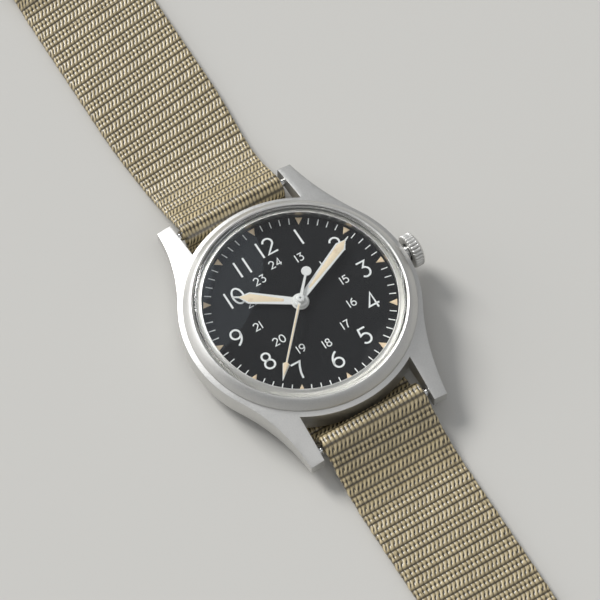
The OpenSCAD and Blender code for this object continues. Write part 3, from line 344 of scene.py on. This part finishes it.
def lathe(name, profile, material, segments=192, smooth=35, radius_at=None):
    """A closed outline of (radius, height) turned round the Z axis. radius_at bends the radius by angle."""
    points, rings = [], []
    for r, z in profile:
        if abs(r) < 1e-6:
            rings.append([len(points)])
            points.append((0, 0, z))
            continue
        rings.append(list(range(len(points), len(points) + segments)))
        for k in range(segments):
            a = 2 * math.pi * k / segments
            q = radius_at(r, z, a) if radius_at else r
            points.append((q * math.cos(a), q * math.sin(a), z))
    faces = []
    for i, ring in enumerate(rings):
        nxt = rings[(i + 1) % len(rings)]
        if len(ring) == 1 and len(nxt) == 1:
            continue
        for k in range(segments):
            j = (k + 1) % segments
            if len(ring) == 1:
                faces.append((ring[0], nxt[j], nxt[k]))
            elif len(nxt) == 1:
                faces.append((ring[k], ring[j], nxt[0]))
            else:
                faces.append((ring[k], ring[j], nxt[j], nxt[k]))
    return mesh_object(name, points, faces, material, smooth)


def place(obj, matrix):
    """Moves a new piece by changing its mesh, so that its own coordinates are the frame's."""
    obj.data.transform(matrix)
    return obj


def stand(obj, body, slot, *nodes):
    """The piece rides on a body and stands for CAD nodes, which it hides; slot is not used."""
    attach(obj, body)
    if nodes:
        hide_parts(*nodes)
    return obj


def joined(parts):
    """One list of points and faces from several."""
    points, faces = [], []
    for p, f in parts:
        base = len(points)
        points += list(p)
        faces += [tuple(i + base for i in face) for face in f]
    return points, faces


# CAD nodes that stay: finish and softened edges

def soften(node, width, angle=32, segments=3):
    """Softens the sharp edges of a CAD node by modifiers, which leave its mesh as it is."""
    obj = NODES[node]
    weld = obj.modifiers.new("weld", "WELD")
    weld.merge_threshold = 0.000002
    bevel = obj.modifiers.new("bevel", "BEVEL")
    bevel.width = width * MM
    bevel.segments = segments
    bevel.limit_method = "ANGLE"
    bevel.angle_limit = math.radians(angle)
    bevel.harden_normals = False
    bevel.use_clamp_overlap = True
    return obj


for row in frame["record"]["subparts"]:
    data = NODES[row["node"]].data
    data.materials.clear()
    data.materials.append(MATERIALS[row["material_slot"]])


def refinish(material, *nodes):
    for n in nodes:
        NODES[n].data.materials[0] = material


refinish(TURNED, "case_back")
refinish(POLISHED, "bar_tube_12", "bar_tube_6", "tip_12_left", "tip_12_right", "tip_6_left", "tip_6_right")
refinish(BLUED, "bridge_screws", "balance_spring")


# Case: bezel, crystal, ring, crown

ROUND_SEGMENTS = 256

def make_bezel():
    """Bezel with a rounded shoulder that falls to a short upright wall."""
    inner = CRYSTAL_R + 0.05
    ledge = low("bezel").z
    wall, rim, seat, arc = 0.35, 0.25, 0.75, 72
    shoulder = [(BEZEL_R - (BEZEL_R - inner - rim) * s,
                 CASE_TOP + wall + (BEZEL_TOP - CASE_TOP - wall) * math.sin(math.radians(arc * s))
                 / math.sin(math.radians(arc)), 0)
                for s in [i / 12 for i in range(1, 13)]]
    outline = [(inner - seat, ledge, 0), (BEZEL_R - 0.12, ledge, 0), (BEZEL_R, ledge + 0.1, 0.05),
               (BEZEL_R, ledge + wall, 0)]
    outline += shoulder[:-1] + [(inner + rim, BEZEL_TOP, 0.1), (inner, BEZEL_TOP - 0.15, 0.06),
                                (inner, CRYSTAL_Z, 0), (inner - seat, CRYSTAL_Z, 0)]
    obj = lathe("bezel_ring", fillet(outline, 0.1), MATERIALS["satin_steel"], ROUND_SEGMENTS)
    return stand(obj, "case", "satin_steel", "bezel")


def make_crystal():
    """Domed crystal: two spherical caps over an upright foot."""
    wall = 0.3
    dome_h = 1.9
    thick = 1.1
    inner_r = CRYSTAL_R - wall
    inner_h = dome_h * 0.6
    outer_R = (CRYSTAL_R ** 2 + dome_h ** 2) / (2 * dome_h)
    inner_R = (inner_r ** 2 + inner_h ** 2) / (2 * inner_h)
    outer_a = math.asin(CRYSTAL_R / outer_R)
    inner_a = math.asin(inner_r / inner_R)
    steps = 24
    outside = [(outer_R * math.sin(a), CRYSTAL_TOP - outer_R * (1 - math.cos(a)), 0.35 if i == 0 else 0)
               for i, a in enumerate([outer_a * (1 - k / steps) for k in range(steps + 1)])]
    inside = [(inner_R * math.sin(a), CRYSTAL_TOP - thick - inner_R * (1 - math.cos(a)),
               0.3 if i == steps else 0)
              for i, a in enumerate([inner_a * k / steps for k in range(steps + 1)])]
    outline = [(inner_r, CRYSTAL_Z, 0.05), (CRYSTAL_R, CRYSTAL_Z, 0.05)] + outside + inside
    obj = lathe("crystal_dome", fillet(outline, 0, 6), MATERIALS["crystal"], ROUND_SEGMENTS, 60)
    return stand(obj, "case", "crystal", "crystal")


def make_ring():
    """Bright ring inside the crystal's foot: its face falls outwards, its inner wall mirrors the dial."""
    top = high("tension_ring").z
    outer, inner = CRYSTAL_R - 0.34, high("tension_ring").x - 0.42
    foot = DIAL_TOP + 0.01
    outline = [(outer, foot, 0), (outer, top - 0.75, 0.03), (inner + 0.12, top - 0.02, 0.04), (inner, top, 0.05),
               (inner, foot, 0)]
    obj = lathe("bright_ring", fillet(outline, 0.1), RING_SILVER, ROUND_SEGMENTS)
    return stand(obj, "case", "steel", "tension_ring")


def make_crown():
    """Crown with rounded flutes that end short of its domed face."""
    flutes = 28
    length = CROWN_END - CROWN_X
    band = 1.25

    def fluted(r, z, a):
        if r < CROWN_R - 0.35 or z > band + 0.05:
            return r
        depth = 0.24 * min(1, max(0, (band - z) / 0.12))
        wave = abs(math.sin(a * flutes / 2)) ** 0.7
        return r - depth * (1 - wave)

    bore = 1.35
    outline = [(bore, 0.0), (CROWN_R - 0.14, 0.0), (CROWN_R - 0.04, 0.06), (CROWN_R, 0.14)]
    outline += [(CROWN_R, z) for z in (0.35, 0.6, 0.85, band - 0.12)]
    outline += [(CROWN_R, band), (CROWN_R - 0.03, band + 0.06), (CROWN_R - 0.12, band + 0.14)]
    outline += [(CROWN_R - 0.35, band + 0.3), (CROWN_R - 0.8, band + 0.48), (CROWN_R - 1.5, band + 0.62),
                (0, length)]
    outline += [(0, band - 0.15), (bore, band - 0.15)]
    obj = lathe("crown_body", outline, MATERIALS["satin_steel"], flutes * 12, 50, fluted)
    place(obj, Matrix.Translation((CROWN_X * MM, 0, STEM_Z * MM)) @ Matrix.Rotation(math.radians(90), 4, "Y"))
    return stand(obj, "crown_and_stem", "satin_steel", "crown")


# Dial print: strokes with a flat end and a slightly domed top

def stroke(path, width, height, base_z, closed=False):
    """Points and faces of a printed line along a path of (x, y)."""
    path = np.array(path, float)
    count = len(path)
    points, faces = [], []
    section = [(-1, 0), (-0.92, 0.7), (-0.5, 1), (0.5, 1), (0.92, 0.7), (1, 0)]
    for i in range(count):
        before = path[(i - 1) % count] if closed or i > 0 else path[i]
        after = path[(i + 1) % count] if closed or i < count - 1 else path[i]
        d0, d1 = path[i] - before, after - path[i]
        n0 = np.linalg.norm(d0)
        n1 = np.linalg.norm(d1)
        d0 = d0 / n0 if n0 > 1e-9 else d1 / n1
        d1 = d1 / n1 if n1 > 1e-9 else d0
        tangent = d0 + d1
        tangent /= np.linalg.norm(tangent)
        side = np.array([-tangent[1], tangent[0]])
        mitre = min(1.8, 1 / max(0.3, float(side @ np.array([-d0[1], d0[0]]))))
        for s, h in section:
            q = path[i] + side * s * width / 2 * mitre
            points.append((q[0], q[1], base_z + height * h))
    m = len(section)
    for i in range(count if closed else count - 1):
        a, b = i * m, ((i + 1) % count) * m
        faces += [(a + k, b + k, b + k + 1, a + k + 1) for k in range(m - 1)]
    if not closed:
        faces += [tuple(range(m)), tuple(range((count - 1) * m + m - 1, (count - 1) * m - 1, -1))]
    return points, faces


def bow(cx, cy, rx, ry, start, end, steps=16):
    """Points of an elliptical arc between two angles in degrees."""
    return [(cx + rx * math.cos(math.radians(start + (end - start) * k / steps)),
             cy + ry * math.sin(math.radians(start + (end - start) * k / steps))) for k in range(steps + 1)]


# Strokes of each digit in a box of height 1, with its width and whether each stroke is closed
DIGITS = {
    "0": (0.66, [(bow(0.33, 0.5, 0.29, 0.47, 0, 345, 23), True)]),
    "1": (0.14, [([(0.07, 0), (0.07, 1)], False)]),
    "2": (0.62, [(bow(0.31, 0.7, 0.265, 0.265, 165, -38, 14) + [(0.04, 0.05), (0.6, 0.05)], False)]),
    "3": (0.6, [([(0.04, 0.95), (0.53, 0.95), (0.27, 0.62)] + bow(0.26, 0.33, 0.28, 0.29, 82, -140, 16), False)]),
    "4": (0.66, [([(0.47, 0), (0.47, 0.96), (0.03, 0.25), (0.64, 0.25)], False)]),
    "5": (0.6, [([(0.52, 0.95), (0.13, 0.95), (0.08, 0.56)] + bow(0.28, 0.33, 0.28, 0.29, 118, -140, 16), False)]),
    "6": (0.64, [(bow(0.32, 0.31, 0.27, 0.27, 0, 345, 23), True),
                 (bow(0.72, 0.31, 0.67, 0.7, 180, 112, 10), False)]),
    "7": (0.6, [([(0.02, 0.95), (0.56, 0.95), (0.42, 0.68), (0.3, 0.36), (0.24, 0)], False)]),
    "8": (0.62, [(bow(0.31, 0.735, 0.22, 0.22, 0, 345, 23), True),
                 (bow(0.31, 0.27, 0.27, 0.255, 0, 345, 23), True)]),
    "9": (0.64, [(bow(0.32, 0.69, 0.27, 0.27, 0, 345, 23), True),
                 (bow(-0.08, 0.69, 0.67, 0.7, 0, -68, 10), False)]),
}
DIGIT_GAP = 0.2


def number(text, centre, height, width, base_z, relief, gap=DIGIT_GAP):
    """Points and faces of a printed number, upright on the dial."""
    span = sum(DIGITS[c][0] for c in text) + gap * (len(text) - 1)
    x = centre[0] - span * height / 2
    parts = []
    for c in text:
        wide, strokes = DIGITS[c]
        for path, closed in strokes:
            moved = [(x + px * height, centre[1] + (py - 0.5) * height) for px, py in path]
            parts.append(stroke(moved, width, relief, base_z, closed))
        x += (wide + gap) * height
    return joined(parts)


def clock_point(radius, degrees):
    return (radius * math.sin(math.radians(degrees)), radius * math.cos(math.radians(degrees)))


# Printed numbers: the circle on which they stand, their height and line width, and how far some stand from that
# circle, towards +X and +Y, so that wide ones clear the minute track
HOUR_CIRCLE, HOUR_HEIGHT, HOUR_LINE = 10.45, 2.62, 0.29
INNER_CIRCLE, INNER_HEIGHT, INNER_LINE = 7.15, 1.22, 0.17
PAIRED_ONES_GAP = 0.42
HOUR_SHIFTS = {4: (-0.27, 0.48), 5: (-0.09, 0.21), 6: (-0.08, 0.43), 7: (-0.14, 0.33), 8: (0.68, 0), 9: (0.25, 0),
               10: (1.77, 0.24), 11: (1.17, -0.1), 12: (0.45, -0.5)}
INNER_SHIFTS = {17: (0.1, 0.18), 19: (0.1, 0.18), 20: (0.76, 0.23), 21: (0.27, 0), 22: (0.6, 0),
                23: (0.58, -0.19), 24: (0.2, 0)}


def number_place(radius, hour, move):
    spot = clock_point(radius, 30 * hour)
    return spot[0] + move[0], spot[1] + move[1]


def turned(parts, degrees):
    """Points and faces turned clockwise round the Z axis."""
    points, faces = parts
    c, s = math.cos(math.radians(-degrees)), math.sin(math.radians(-degrees))
    return [(x * c - y * s, x * s + y * c, z) for x, y, z in points], faces


def make_print():
    relief = 0.02
    hours = [number(str(h), number_place(HOUR_CIRCLE, h, HOUR_SHIFTS.get(h, (0, 0))), HOUR_HEIGHT, HOUR_LINE,
                    DIAL_TOP, relief, PAIRED_ONES_GAP if h == 11 else DIGIT_GAP) for h in range(1, 13)]
    inner = [number(str(h + 12), number_place(INNER_CIRCLE, h, INNER_SHIFTS.get(h + 12, (0, 0))), INNER_HEIGHT,
                    INNER_LINE, DIAL_TOP, relief) for h in range(1, 13)]
    ticks = [stroke([clock_point(12.5, 6 * m), clock_point(13.5, 6 * m)], 0.15, relief, DIAL_TOP)
             for m in range(60) if m % 5]
    for name, parts in (("hour_numerals", hours), ("inner_numerals", inner), ("minute_track", ticks)):
        stand(mesh_object(name, *joined(parts), PRINT_WHITE, 60), "case", "hand_white")
    marks = []
    for h in range(12):
        half, out, tip = 0.52, 13.55, 12.4
        flat = [(-half, out), (half, out), (0, tip)]
        dome = [(-half * 0.7, out - 0.13), (half * 0.7, out - 0.13), (0, tip + 0.3)]
        points = [(x, y, DIAL_TOP + (0.0 if i < 3 else 0.07)) for i, (x, y) in enumerate(flat + dome)]
        marks.append(turned((points, [(0, 3, 4, 1), (1, 4, 5, 2), (2, 5, 3, 0), (3, 5, 4)]), 30 * h))
    stand(mesh_object("hour_triangles", *joined(marks), LUME_TAN, 20), "case", "hand_white")


# Hands: cream filling on the CAD's white leaves, with white hubs and the seconds pin

def leaf_outline(w0, w1, shoulder, point, start):
    return [(-w0 / 2, start), (-w1 / 2, shoulder), (0, point), (w1 / 2, shoulder), (w0 / 2, start)]


def filled_leaf(outline, z, rise):
    """A filling with a flat foot and a slightly raised middle."""
    centre = np.mean(np.array(outline), axis=0)
    count = len(outline)
    inner = [tuple(centre + (np.array(p) - centre) * 0.8) for p in outline]
    points = [(x, y, z) for x, y in outline] + [(x, y, z + rise) for x, y in inner]
    faces = [(i, (i + 1) % count, count + (i + 1) % count, count + i) for i in range(count)]
    return points, [tuple(reversed(f)) for f in faces] + [tuple(reversed(range(count, 2 * count)))]


def make_hands():
    fills = (
        ("hour_hand_lume", "hour_group", HOUR_A, HOUR_Z, leaf_outline(0.42, 1.28, 7.1, 8.6, 2.3)),
        ("minute_hand_lume", "minute_group", MINUTE_A, MINUTE_Z, leaf_outline(0.3, 1.14, 10.1, 11.4, 2.3)),
        ("seconds_hand_lume", "seconds_group", SECOND_A, SECOND_Z, leaf_outline(0.22, 0.14, 10.0, 10.05, 1.0)),
        ("seconds_head_lume", "seconds_group", SECOND_A, SECOND_Z,
         [(-0.1, 10.05), (-0.4, 10.25), (0, 12.3), (0.4, 10.25), (0.1, 10.05)]),
    )
    for name, body, turn, z, outline in fills:
        filling = turned(filled_leaf(outline, z + 0.002, 0.03), turn)
        stand(mesh_object(name, *filling, LUME_CREAM, 25), body, "hand_white")
    outline = [(0.17, SECOND_Z), (0.62, SECOND_Z, 0.02), (0.56, SECOND_Z + 0.1, 0.05), (0.3, SECOND_Z + 0.14, 0.04),
               (0.17, SECOND_Z + 0.14)]
    hub = lathe("seconds_hub", fillet(outline, 0.02), MATERIALS["hand_white"], 64)
    stand(hub, "seconds_group", "hand_white")
    pin_top = high("fourth_wheel").z
    outline = [(0, SECOND_Z + 0.02, 0), (0.165, SECOND_Z + 0.02, 0), (0.165, pin_top, 0.03), (0, pin_top + 0.02, 0)]
    stand(lathe("seconds_pin", fillet(outline, 0.02), POLISHED, 32), "seconds_group", "steel")
    outline = [(0.54, MINUTE_Z), (0.98, MINUTE_Z, 0.02), (0.9, MINUTE_Z + 0.1, 0.05), (0.54, MINUTE_Z + 0.1)]
    boss = lathe("minute_hub", fillet(outline, 0.02), MATERIALS["hand_white"], 64)
    stand(boss, "minute_group", "hand_white")


# Strap: woven webbing as a height field along the CAD's run

COLUMN = 0.66
RIB = 1.6
RELIEF = 0.2
yarn_rise = random.rand(64, 256)


def weave(u, v, half):
    """Height from 0 to 1, and painted shade from 0 to 1 in holes and gaps, at places u across and v along the
    webbing.
    """
    edge = half - np.abs(u)
    column = np.where(edge < 1.0, COLUMN * 0.8, COLUMN)
    rib = np.floor(v / RIB)
    y = v / RIB - rib
    kind = (rib.astype(int) % 2) == 0
    smooth = y * y * (3 - 2 * y)
    lean = np.where(kind, 0.9 * (smooth - 0.5), 0.35 * (smooth - 0.5) + 0.5)
    x = u / column - lean
    index = np.floor(x)
    across = np.abs(x - index - 0.5) * 2
    yarn = np.sqrt(np.clip(1 - across ** 2 * 0.96, 0, 1))
    waist = np.exp(-((y - 0.52) / 0.15) ** 2)
    long_float = np.clip(np.sin(np.pi * y), 0, 1) ** 0.4
    two_dots = np.abs(np.sin(2 * np.pi * y)) ** 0.5 * 0.92 + 0.3 * waist
    along = np.where(kind, long_float, two_dots)
    hole = waist * np.clip((across - 0.44) / 0.4, 0, 1) ** 0.8
    rise = yarn_rise[index.astype(int) % 64, rib.astype(int) % 256]
    height = along * (0.3 + 0.7 * yarn) * (0.86 + 0.14 * rise) - 0.55 * hole
    line = np.exp(-((y - np.round(y)) / 0.075) ** 2)
    gap = np.clip((across - 0.78) / 0.22, 0, 1)
    # Painted shade: darkens the holes, the lines between ribs and the gaps between yarns.
    painted_shade = np.clip(1.4 * hole + 0.9 * line + 0.35 * gap, 0, 1)
    return np.clip(height, 0, 1), painted_shade


def sample(path, step):
    """Even steps along a polyline of (a, b), with its unit normals to the left."""
    path = np.array(path, float)
    gaps = np.linalg.norm(np.diff(path, axis=0), axis=1)
    keep = np.concatenate([[True], gaps > 1e-6])
    path = path[keep]
    run = np.concatenate([[0], np.cumsum(np.linalg.norm(np.diff(path, axis=0), axis=1))])
    count = max(2, int(round(run[-1] / step)))
    at = np.linspace(0, run[-1], count + 1)
    places = np.stack([np.interp(at, run, path[:, 0]), np.interp(at, run, path[:, 1])], 1)
    wide = 3
    padded = np.concatenate([places[:1] - (places[1:2] - places[:1]) * np.arange(wide, 0, -1)[:, None], places,
                             places[-1:] + (places[-1:] - places[-2:-1]) * np.arange(1, wide + 1)[:, None]])
    heading = padded[2 * wide:] - padded[:-2 * wide]
    heading /= np.linalg.norm(heading, axis=1)[:, None]
    return places, np.stack([-heading[:, 1], heading[:, 0]], 1), at


def woven_band(name, path, thick, to_frame, span, step=(0.11, 0.146), under_step=0.66, start_v=0.0, closed=False,
               half=None, width_at=None, squeeze_at=None, skew_at=None, holes=(), relief=RELIEF):
    """Webbing along a path in a plane, woven as weave() says.

    to_frame(across, a, b) gives the frame's (x, y, z). span is its reach across, and half is half of the whole
    webbing's width. width_at trims, squeeze_at narrows and skew_at slants the webbing at a place on the path.
    """
    half = half or span[1]
    places, normals, run = sample(path, step[1])
    if closed:
        places, normals, run = places[:-1], normals[:-1], run[:-1]
    rows = len(places)
    reach = span[1] - span[0]
    top = np.linspace(0, 1, int(round(reach / step[0])) + 1)
    under = np.linspace(1, 0, max(4, int(round(reach / under_step))) + 1)[1:-1]
    share = np.concatenate([top, under])
    side = np.concatenate([np.ones(len(top)), -np.ones(len(under))])
    narrow = np.ones(rows) if width_at is None else np.array([width_at(q) for q in places])
    across = (span[0] + reach * share)[None, :] * narrow[:, None]
    skew = np.zeros(rows) if skew_at is None else np.array([skew_at(q) for q in places])
    v = (run + start_v)[:, None] + across * skew[:, None]
    height, painted_shade = weave(across, v + np.where(side < 0, RIB / 2, 0)[None, :], half)
    inset = np.minimum(across - span[0] * narrow[:, None], span[1] * narrow[:, None] - across)
    if squeeze_at:
        across = across * np.array([squeeze_at(q) for q in places])[:, None]
    edge = np.clip(inset / 0.42, 0, 1)
    lip = np.sqrt(np.clip(1 - (1 - edge) ** 2, 0, 1))
    offset = side[None, :] * lip * (thick / 2 - relief + relief * height)
    bulge = np.where(edge <= 0, relief * 0.6 * (height - 0.5), 0) * np.sign(share - 0.5)[None, :]
    a = places[:, 0][:, None] + normals[:, 0][:, None] * offset
    b = places[:, 1][:, None] + normals[:, 1][:, None] * offset
    cut = np.zeros(across.shape, bool)
    for hole_a in holes:
        gap_a = a - hole_a
        far = np.hypot(gap_a, across)
        inside = far < HOLE_R
        cut |= inside
        # The mask darkens round each hole, out to just past its rim.
        painted_shade = np.where(far < HOLE_R + 0.35, np.maximum(painted_shade, 0.55), painted_shade)
        scale = np.where(inside, HOLE_R / np.maximum(far, 1e-6), 1)
        a = np.where(inside, hole_a + gap_a * scale, a)
        across = np.where(inside, across * scale, across)
    xyz = np.stack(to_frame(across + bulge, a, b), -1).reshape(-1, 3)
    m = across.shape[1]
    stations = rows if closed else rows - 1
    first = (np.arange(stations) * m)[:, None] + np.arange(m)[None, :]
    second = (((np.arange(stations) + 1) % rows) * m)[:, None] + np.arange(m)[None, :]
    quads = np.stack([first, np.roll(first, -1, 1), np.roll(second, -1, 1), second], -1).reshape(-1, 4)
    if holes:
        quads = quads[~cut.reshape(-1)[quads].all(1)]
    faces = [tuple(q) for q in quads.tolist()]
    if not closed:
        faces += [tuple(range(m - 1, -1, -1)), tuple(range((rows - 1) * m, rows * m))]
    obj = mesh_object(name, xyz, faces, MATERIALS["webbing"], 180)
    # The painted shade for the gaps and the crest height, which paints a highlight on the yarns' tops, go to the
    # mesh as attributes.
    attribute = obj.data.attributes.new("crevice_shade", "FLOAT", "POINT")
    attribute.data.foreach_set("value", painted_shade.reshape(-1).astype(np.float32))
    attribute = obj.data.attributes.new("crest", "FLOAT", "POINT")
    attribute.data.foreach_set("value", height.reshape(-1).astype(np.float32))
    grid = np.stack([across, v, np.zeros(across.shape)], -1)
    attribute = obj.data.attributes.new("weave", "FLOAT_VECTOR", "POINT")
    attribute.data.foreach_set("vector", grid.reshape(-1).astype(np.float32))
    return obj


def eased(p, q, steps):
    """An S-shaped step from one level to another."""
    return [(p[0] + (q[0] - p[0]) * s, p[1] + (q[1] - p[1]) * s * s * (3 - 2 * s))
            for s in [k / steps for k in range(steps + 1)]]


def under_case():
    """From under the case's centre up between the case and the spring bar, to the top of the bar."""
    return ([(0, MID_Z)] + bow(BAR_Y - WRAP_R - DIVE_R, MID_Z + DIVE_R, DIVE_R, DIVE_R, -90, 0, 24)
            + bow(BAR_Y, BAR_Z, WRAP_R, WRAP_R, 180, 90, 24))


def arm_start():
    """From the top of the spring bar down to the surface that the strap lies on."""
    slope = math.radians(SLOPE)
    leave = (BAR_Y + WRAP_R * math.sin(slope), BAR_Z + WRAP_R * math.cos(slope))
    slope_l = (leave[1] - MID_Z - SAG_R * (1 - math.cos(slope))) / math.sin(slope)
    sag = (leave[0] + slope_l * math.cos(slope), leave[1] - slope_l * math.sin(slope))
    centre = (sag[0] + SAG_R * math.sin(slope), sag[1] + SAG_R * math.cos(slope))
    return bow(BAR_Y, BAR_Z, WRAP_R, WRAP_R, 90, 90 - SLOPE, 12) + bow(*centre, SAG_R, SAG_R, -90 - SLOPE, -90, 24)


def run_of(path):
    return float(np.linalg.norm(np.diff(np.array(path), axis=0), axis=1).sum())


def upper(across, a, b):
    return across, a, b


def lower(across, a, b):
    return -across, -a, b


def make_strap():
    """One strap in pieces: under the case, the buckle arm with its loop and fold, and the tail with its holes."""
    full = (-STRAP_HALF, STRAP_HALF)
    wide = (-SPREAD_HALF, SPREAD_HALF)

    def squeezed(q):
        t = min(1, max(0, (q[0] - SPREAD_Y) / SPREAD_L))
        return (STRAP_HALF + (SPREAD_HALF - STRAP_HALF) * t * t * (3 - 2 * t)) / SPREAD_HALF

    def skewed(q):
        """The ribs of the buckle side lie a little askew, more so away from the case."""
        return -0.15 * min(1, max(0, (q[0] - BAR_Y) / 22))

    first = under_case() + arm_start()[1:]
    head = first + [(SPLIT_Y, MID_Z)]
    done = run_of(head)
    obj = woven_band("strap_webbing_12", head, STRAP_T, upper, wide, squeeze_at=squeezed, skew_at=skewed)
    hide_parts("strap_center")
    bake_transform(obj)
    obj = woven_band("strap_webbing_6", head, STRAP_T, lower, full)
    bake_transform(obj)
    # Buckle arm: up over the keepers' floors, round the buckle's bar and back under itself
    slot_y = PIN_Y - 4
    rise = eased((PIN_Y - 6, DOUBLE_Z), (PIN_Y, PIN_Z + LOOP_R), 24)
    upto = [q for q in rise if q[0] < slot_y]
    after = [q for q in rise if q[0] >= slot_y]
    one = ([(SPLIT_Y, MID_Z)] + eased((SLIDE_Y0 - 6, MID_Z), (SLIDE_Y0, RAISED_Z), 16) + [(SLIDE_Y1, RAISED_Z)]
           + eased((SLIDE_Y1, RAISED_Z), (SLIDE_Y1 + 4, DOUBLE_Z), 14)[1:] + upto)
    obj = woven_band("strap_webbing_buckle", one, STRAP_T, upper, wide, start_v=done, skew_at=skewed)
    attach(obj, "buckle_arm")
    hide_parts("strap_buckle_side")
    loop = [upto[-1]] + after + bow(PIN_Y, PIN_Z, LOOP_R, LOOP_R, 88, -90, 36) + [(slot_y, RAISED_Z)]
    gap = 1.4
    for name, span in (("strap_loop_left", (-SPREAD_HALF, -gap)), ("strap_loop_right", (gap, SPREAD_HALF))):
        obj = woven_band(name, loop, STRAP_T, upper, span, start_v=done + run_of(one), half=SPREAD_HALF,
                         under_step=0.4, skew_at=skewed)
        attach(obj, "buckle_arm")
    back = [(slot_y, RAISED_Z), (FOLD_Y, RAISED_Z)]
    obj = woven_band("strap_fold", back, STRAP_T, upper, wide, (0.2, 0.2),
                     start_v=done + run_of(one) + run_of(loop))
    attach(obj, "buckle_arm")
    # Tail arm: flat, with its holes and its round end
    middle = 102
    end_c = TAIL_Y - STRAP_HALF
    places = [TAIL_Y - 20 - HOLE_PITCH * i for i in range(HOLE_COUNT)]

    def round_end(q):
        past = min(0.9995, max(0, (q[0] - end_c) / STRAP_HALF))
        return math.sqrt(1 - past * past)

    obj = woven_band("strap_webbing_tail", [(SPLIT_Y, MID_Z), (middle, MID_Z)], STRAP_T, lower, full, start_v=done,
                     holes=[y for y in places if y < middle])
    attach(obj, "tail_arm")
    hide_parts("strap_tail_side")
    obj = woven_band("strap_webbing_tip", [(middle, MID_Z), (TAIL_Y, MID_Z)], STRAP_T, lower, full,
                     start_v=done + middle - SPLIT_Y, holes=[y for y in places if y > middle], width_at=round_end)
    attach(obj, "tail_arm")
    rims = []
    outline = fillet([(HOLE_R - 0.04, 0.12), (HOLE_R + 0.3, 0.12), (HOLE_R + 0.3, STRAP_T - 0.02),
                      (HOLE_R - 0.04, STRAP_T - 0.08)], 0.14, 5)
    for y in places:
        rim = lathe("rim", outline, MELTED, 40)
        rims.append(([(v.co.x / MM, v.co.y / MM - y, v.co.z / MM) for v in rim.data.vertices],
                     [tuple(f.vertices) for f in rim.data.polygons]))
        bpy.data.objects.remove(rim)
    stand(mesh_object("strap_hole_rims", *joined(rims), MELTED, 60), "tail_arm", "webbing")


def make_keepers():
    """Closed loops of narrow webbing that runs across the strap."""
    for name, body, node in (("keeper_loop_fixed", "buckle_arm", "fixed_keeper"),
                             ("keeper_loop_sliding", "loose_keeper", "sliding_keeper")):
        lo, hi = low(node), high(node)
        centre_y = (lo.y + hi.y) / 2
        half = (hi.y - lo.y) / 2
        left, right = lo.x + KEEPER_T / 2, hi.x - KEEPER_T / 2
        foot, top = lo.z + KEEPER_T / 2, hi.z - KEEPER_T / 2
        corners = [(left, foot), (right, foot), (right, top), (left, top)]
        path = fillet(corners, 0.75, 8)
        path = [((path[-1][0] + path[0][0]) / 2, path[0][1])] + path
        path = list(reversed(path + [path[0]]))

        def crosswise(across, a, b, centre_y=centre_y):
            return a, centre_y + across, b

        obj = woven_band(name, path, KEEPER_T, crosswise, (-half, half), (0.11, 0.13), 0.4, closed=True, relief=0.13)
        stand(obj, body, "webbing", node)


# Floor, lights and camera

def make_floor():
    size = 3.0
    data = bpy.data.meshes.new("floor")
    z = -0.00002
    data.from_pydata([(-size, -size, z), (size, -size, z), (size, size, z), (-size, size, z)], [], [(0, 1, 2, 3)])
    floor = bpy.data.objects.new("floor", data)
    bpy.context.scene.collection.objects.link(floor)
    mat, _, bsdf = new_material("pale_floor", (0.62, 0.61, 0.58), 0.0, 0.7)
    bsdf.inputs["Specular IOR Level"].default_value = 0.2
    data.materials.append(mat)


def far_light(name, towards, width, strength, colour):
    """A soft light far off in a direction, as wide as an angle in degrees."""
    data = bpy.data.lights.new(name, "SUN")
    data.angle = math.radians(width)
    data.energy = strength
    data.color = colour
    lamp = bpy.data.objects.new(name, data)
    at = Vector(towards).normalized()
    lamp.location = at * 0.6
    lamp.rotation_mode = "QUATERNION"
    lamp.rotation_quaternion = (-at).to_track_quat("-Z", "Y")
    bpy.context.scene.collection.objects.link(lamp)


def make_lights():
    far_light("key_softbox", (-0.25, 0.715, 0.54), 22, 2.45, (1, 0.985, 0.965))
    far_light("haze_softbox", (-0.26, 0.72, 0.64), 55, 0.35, (0.75, 0.87, 1))
    far_light("side_softbox", (-0.8, 0.5, 0.3), 36, 0.5, (1, 0.99, 0.98))
    far_light("front_softbox", (-0.05, -0.35, 0.9), 30, 0.22, (1, 0.99, 0.98))
    far_light("fill_softbox", (0.5, -0.35, 0.6), 60, 0.15, (0.97, 0.985, 1))
    world = bpy.data.worlds.new("studio")
    bpy.context.scene.world = world
    world.use_nodes = True
    back = world.node_tree.nodes["Background"]
    back.inputs["Color"].default_value = (0.96, 0.975, 1, 1)
    back.inputs["Strength"].default_value = 0.31


def make_camera():
    azimuth, elevation = math.radians(-31.08), math.radians(63.37)
    distance = 0.45
    target = Vector((0.00195, 0.00332, 0))
    level = math.cos(elevation)
    back = Vector((math.sin(azimuth) * level, -math.cos(azimuth) * level, math.sin(elevation)))
    right = Vector((math.cos(azimuth), math.sin(azimuth), 0))
    up = back.cross(right)
    data = bpy.data.cameras.new("camera")
    data.sensor_width = 36
    data.lens = 188.26
    data.clip_start, data.clip_end = 0.01, 20
    camera = bpy.data.objects.new("camera", data)
    turn = Matrix((right, up, back)).transposed().to_4x4()
    camera.matrix_world = Matrix.Translation(target + back * distance) @ turn
    bpy.context.scene.collection.objects.link(camera)
    bpy.context.scene.camera = camera


make_camera()
soften("case_middle", 0.12)
soften("case_back", 0.08)
soften("buckle_frame", 0.22)
soften("buckle_tongue", 0.12)
make_bezel()
make_crystal()
make_ring()
make_crown()
make_print()
make_hands()
make_strap()
make_keepers()
make_floor()
make_lights()

view = bpy.context.scene.view_settings
view.view_transform = "Standard"
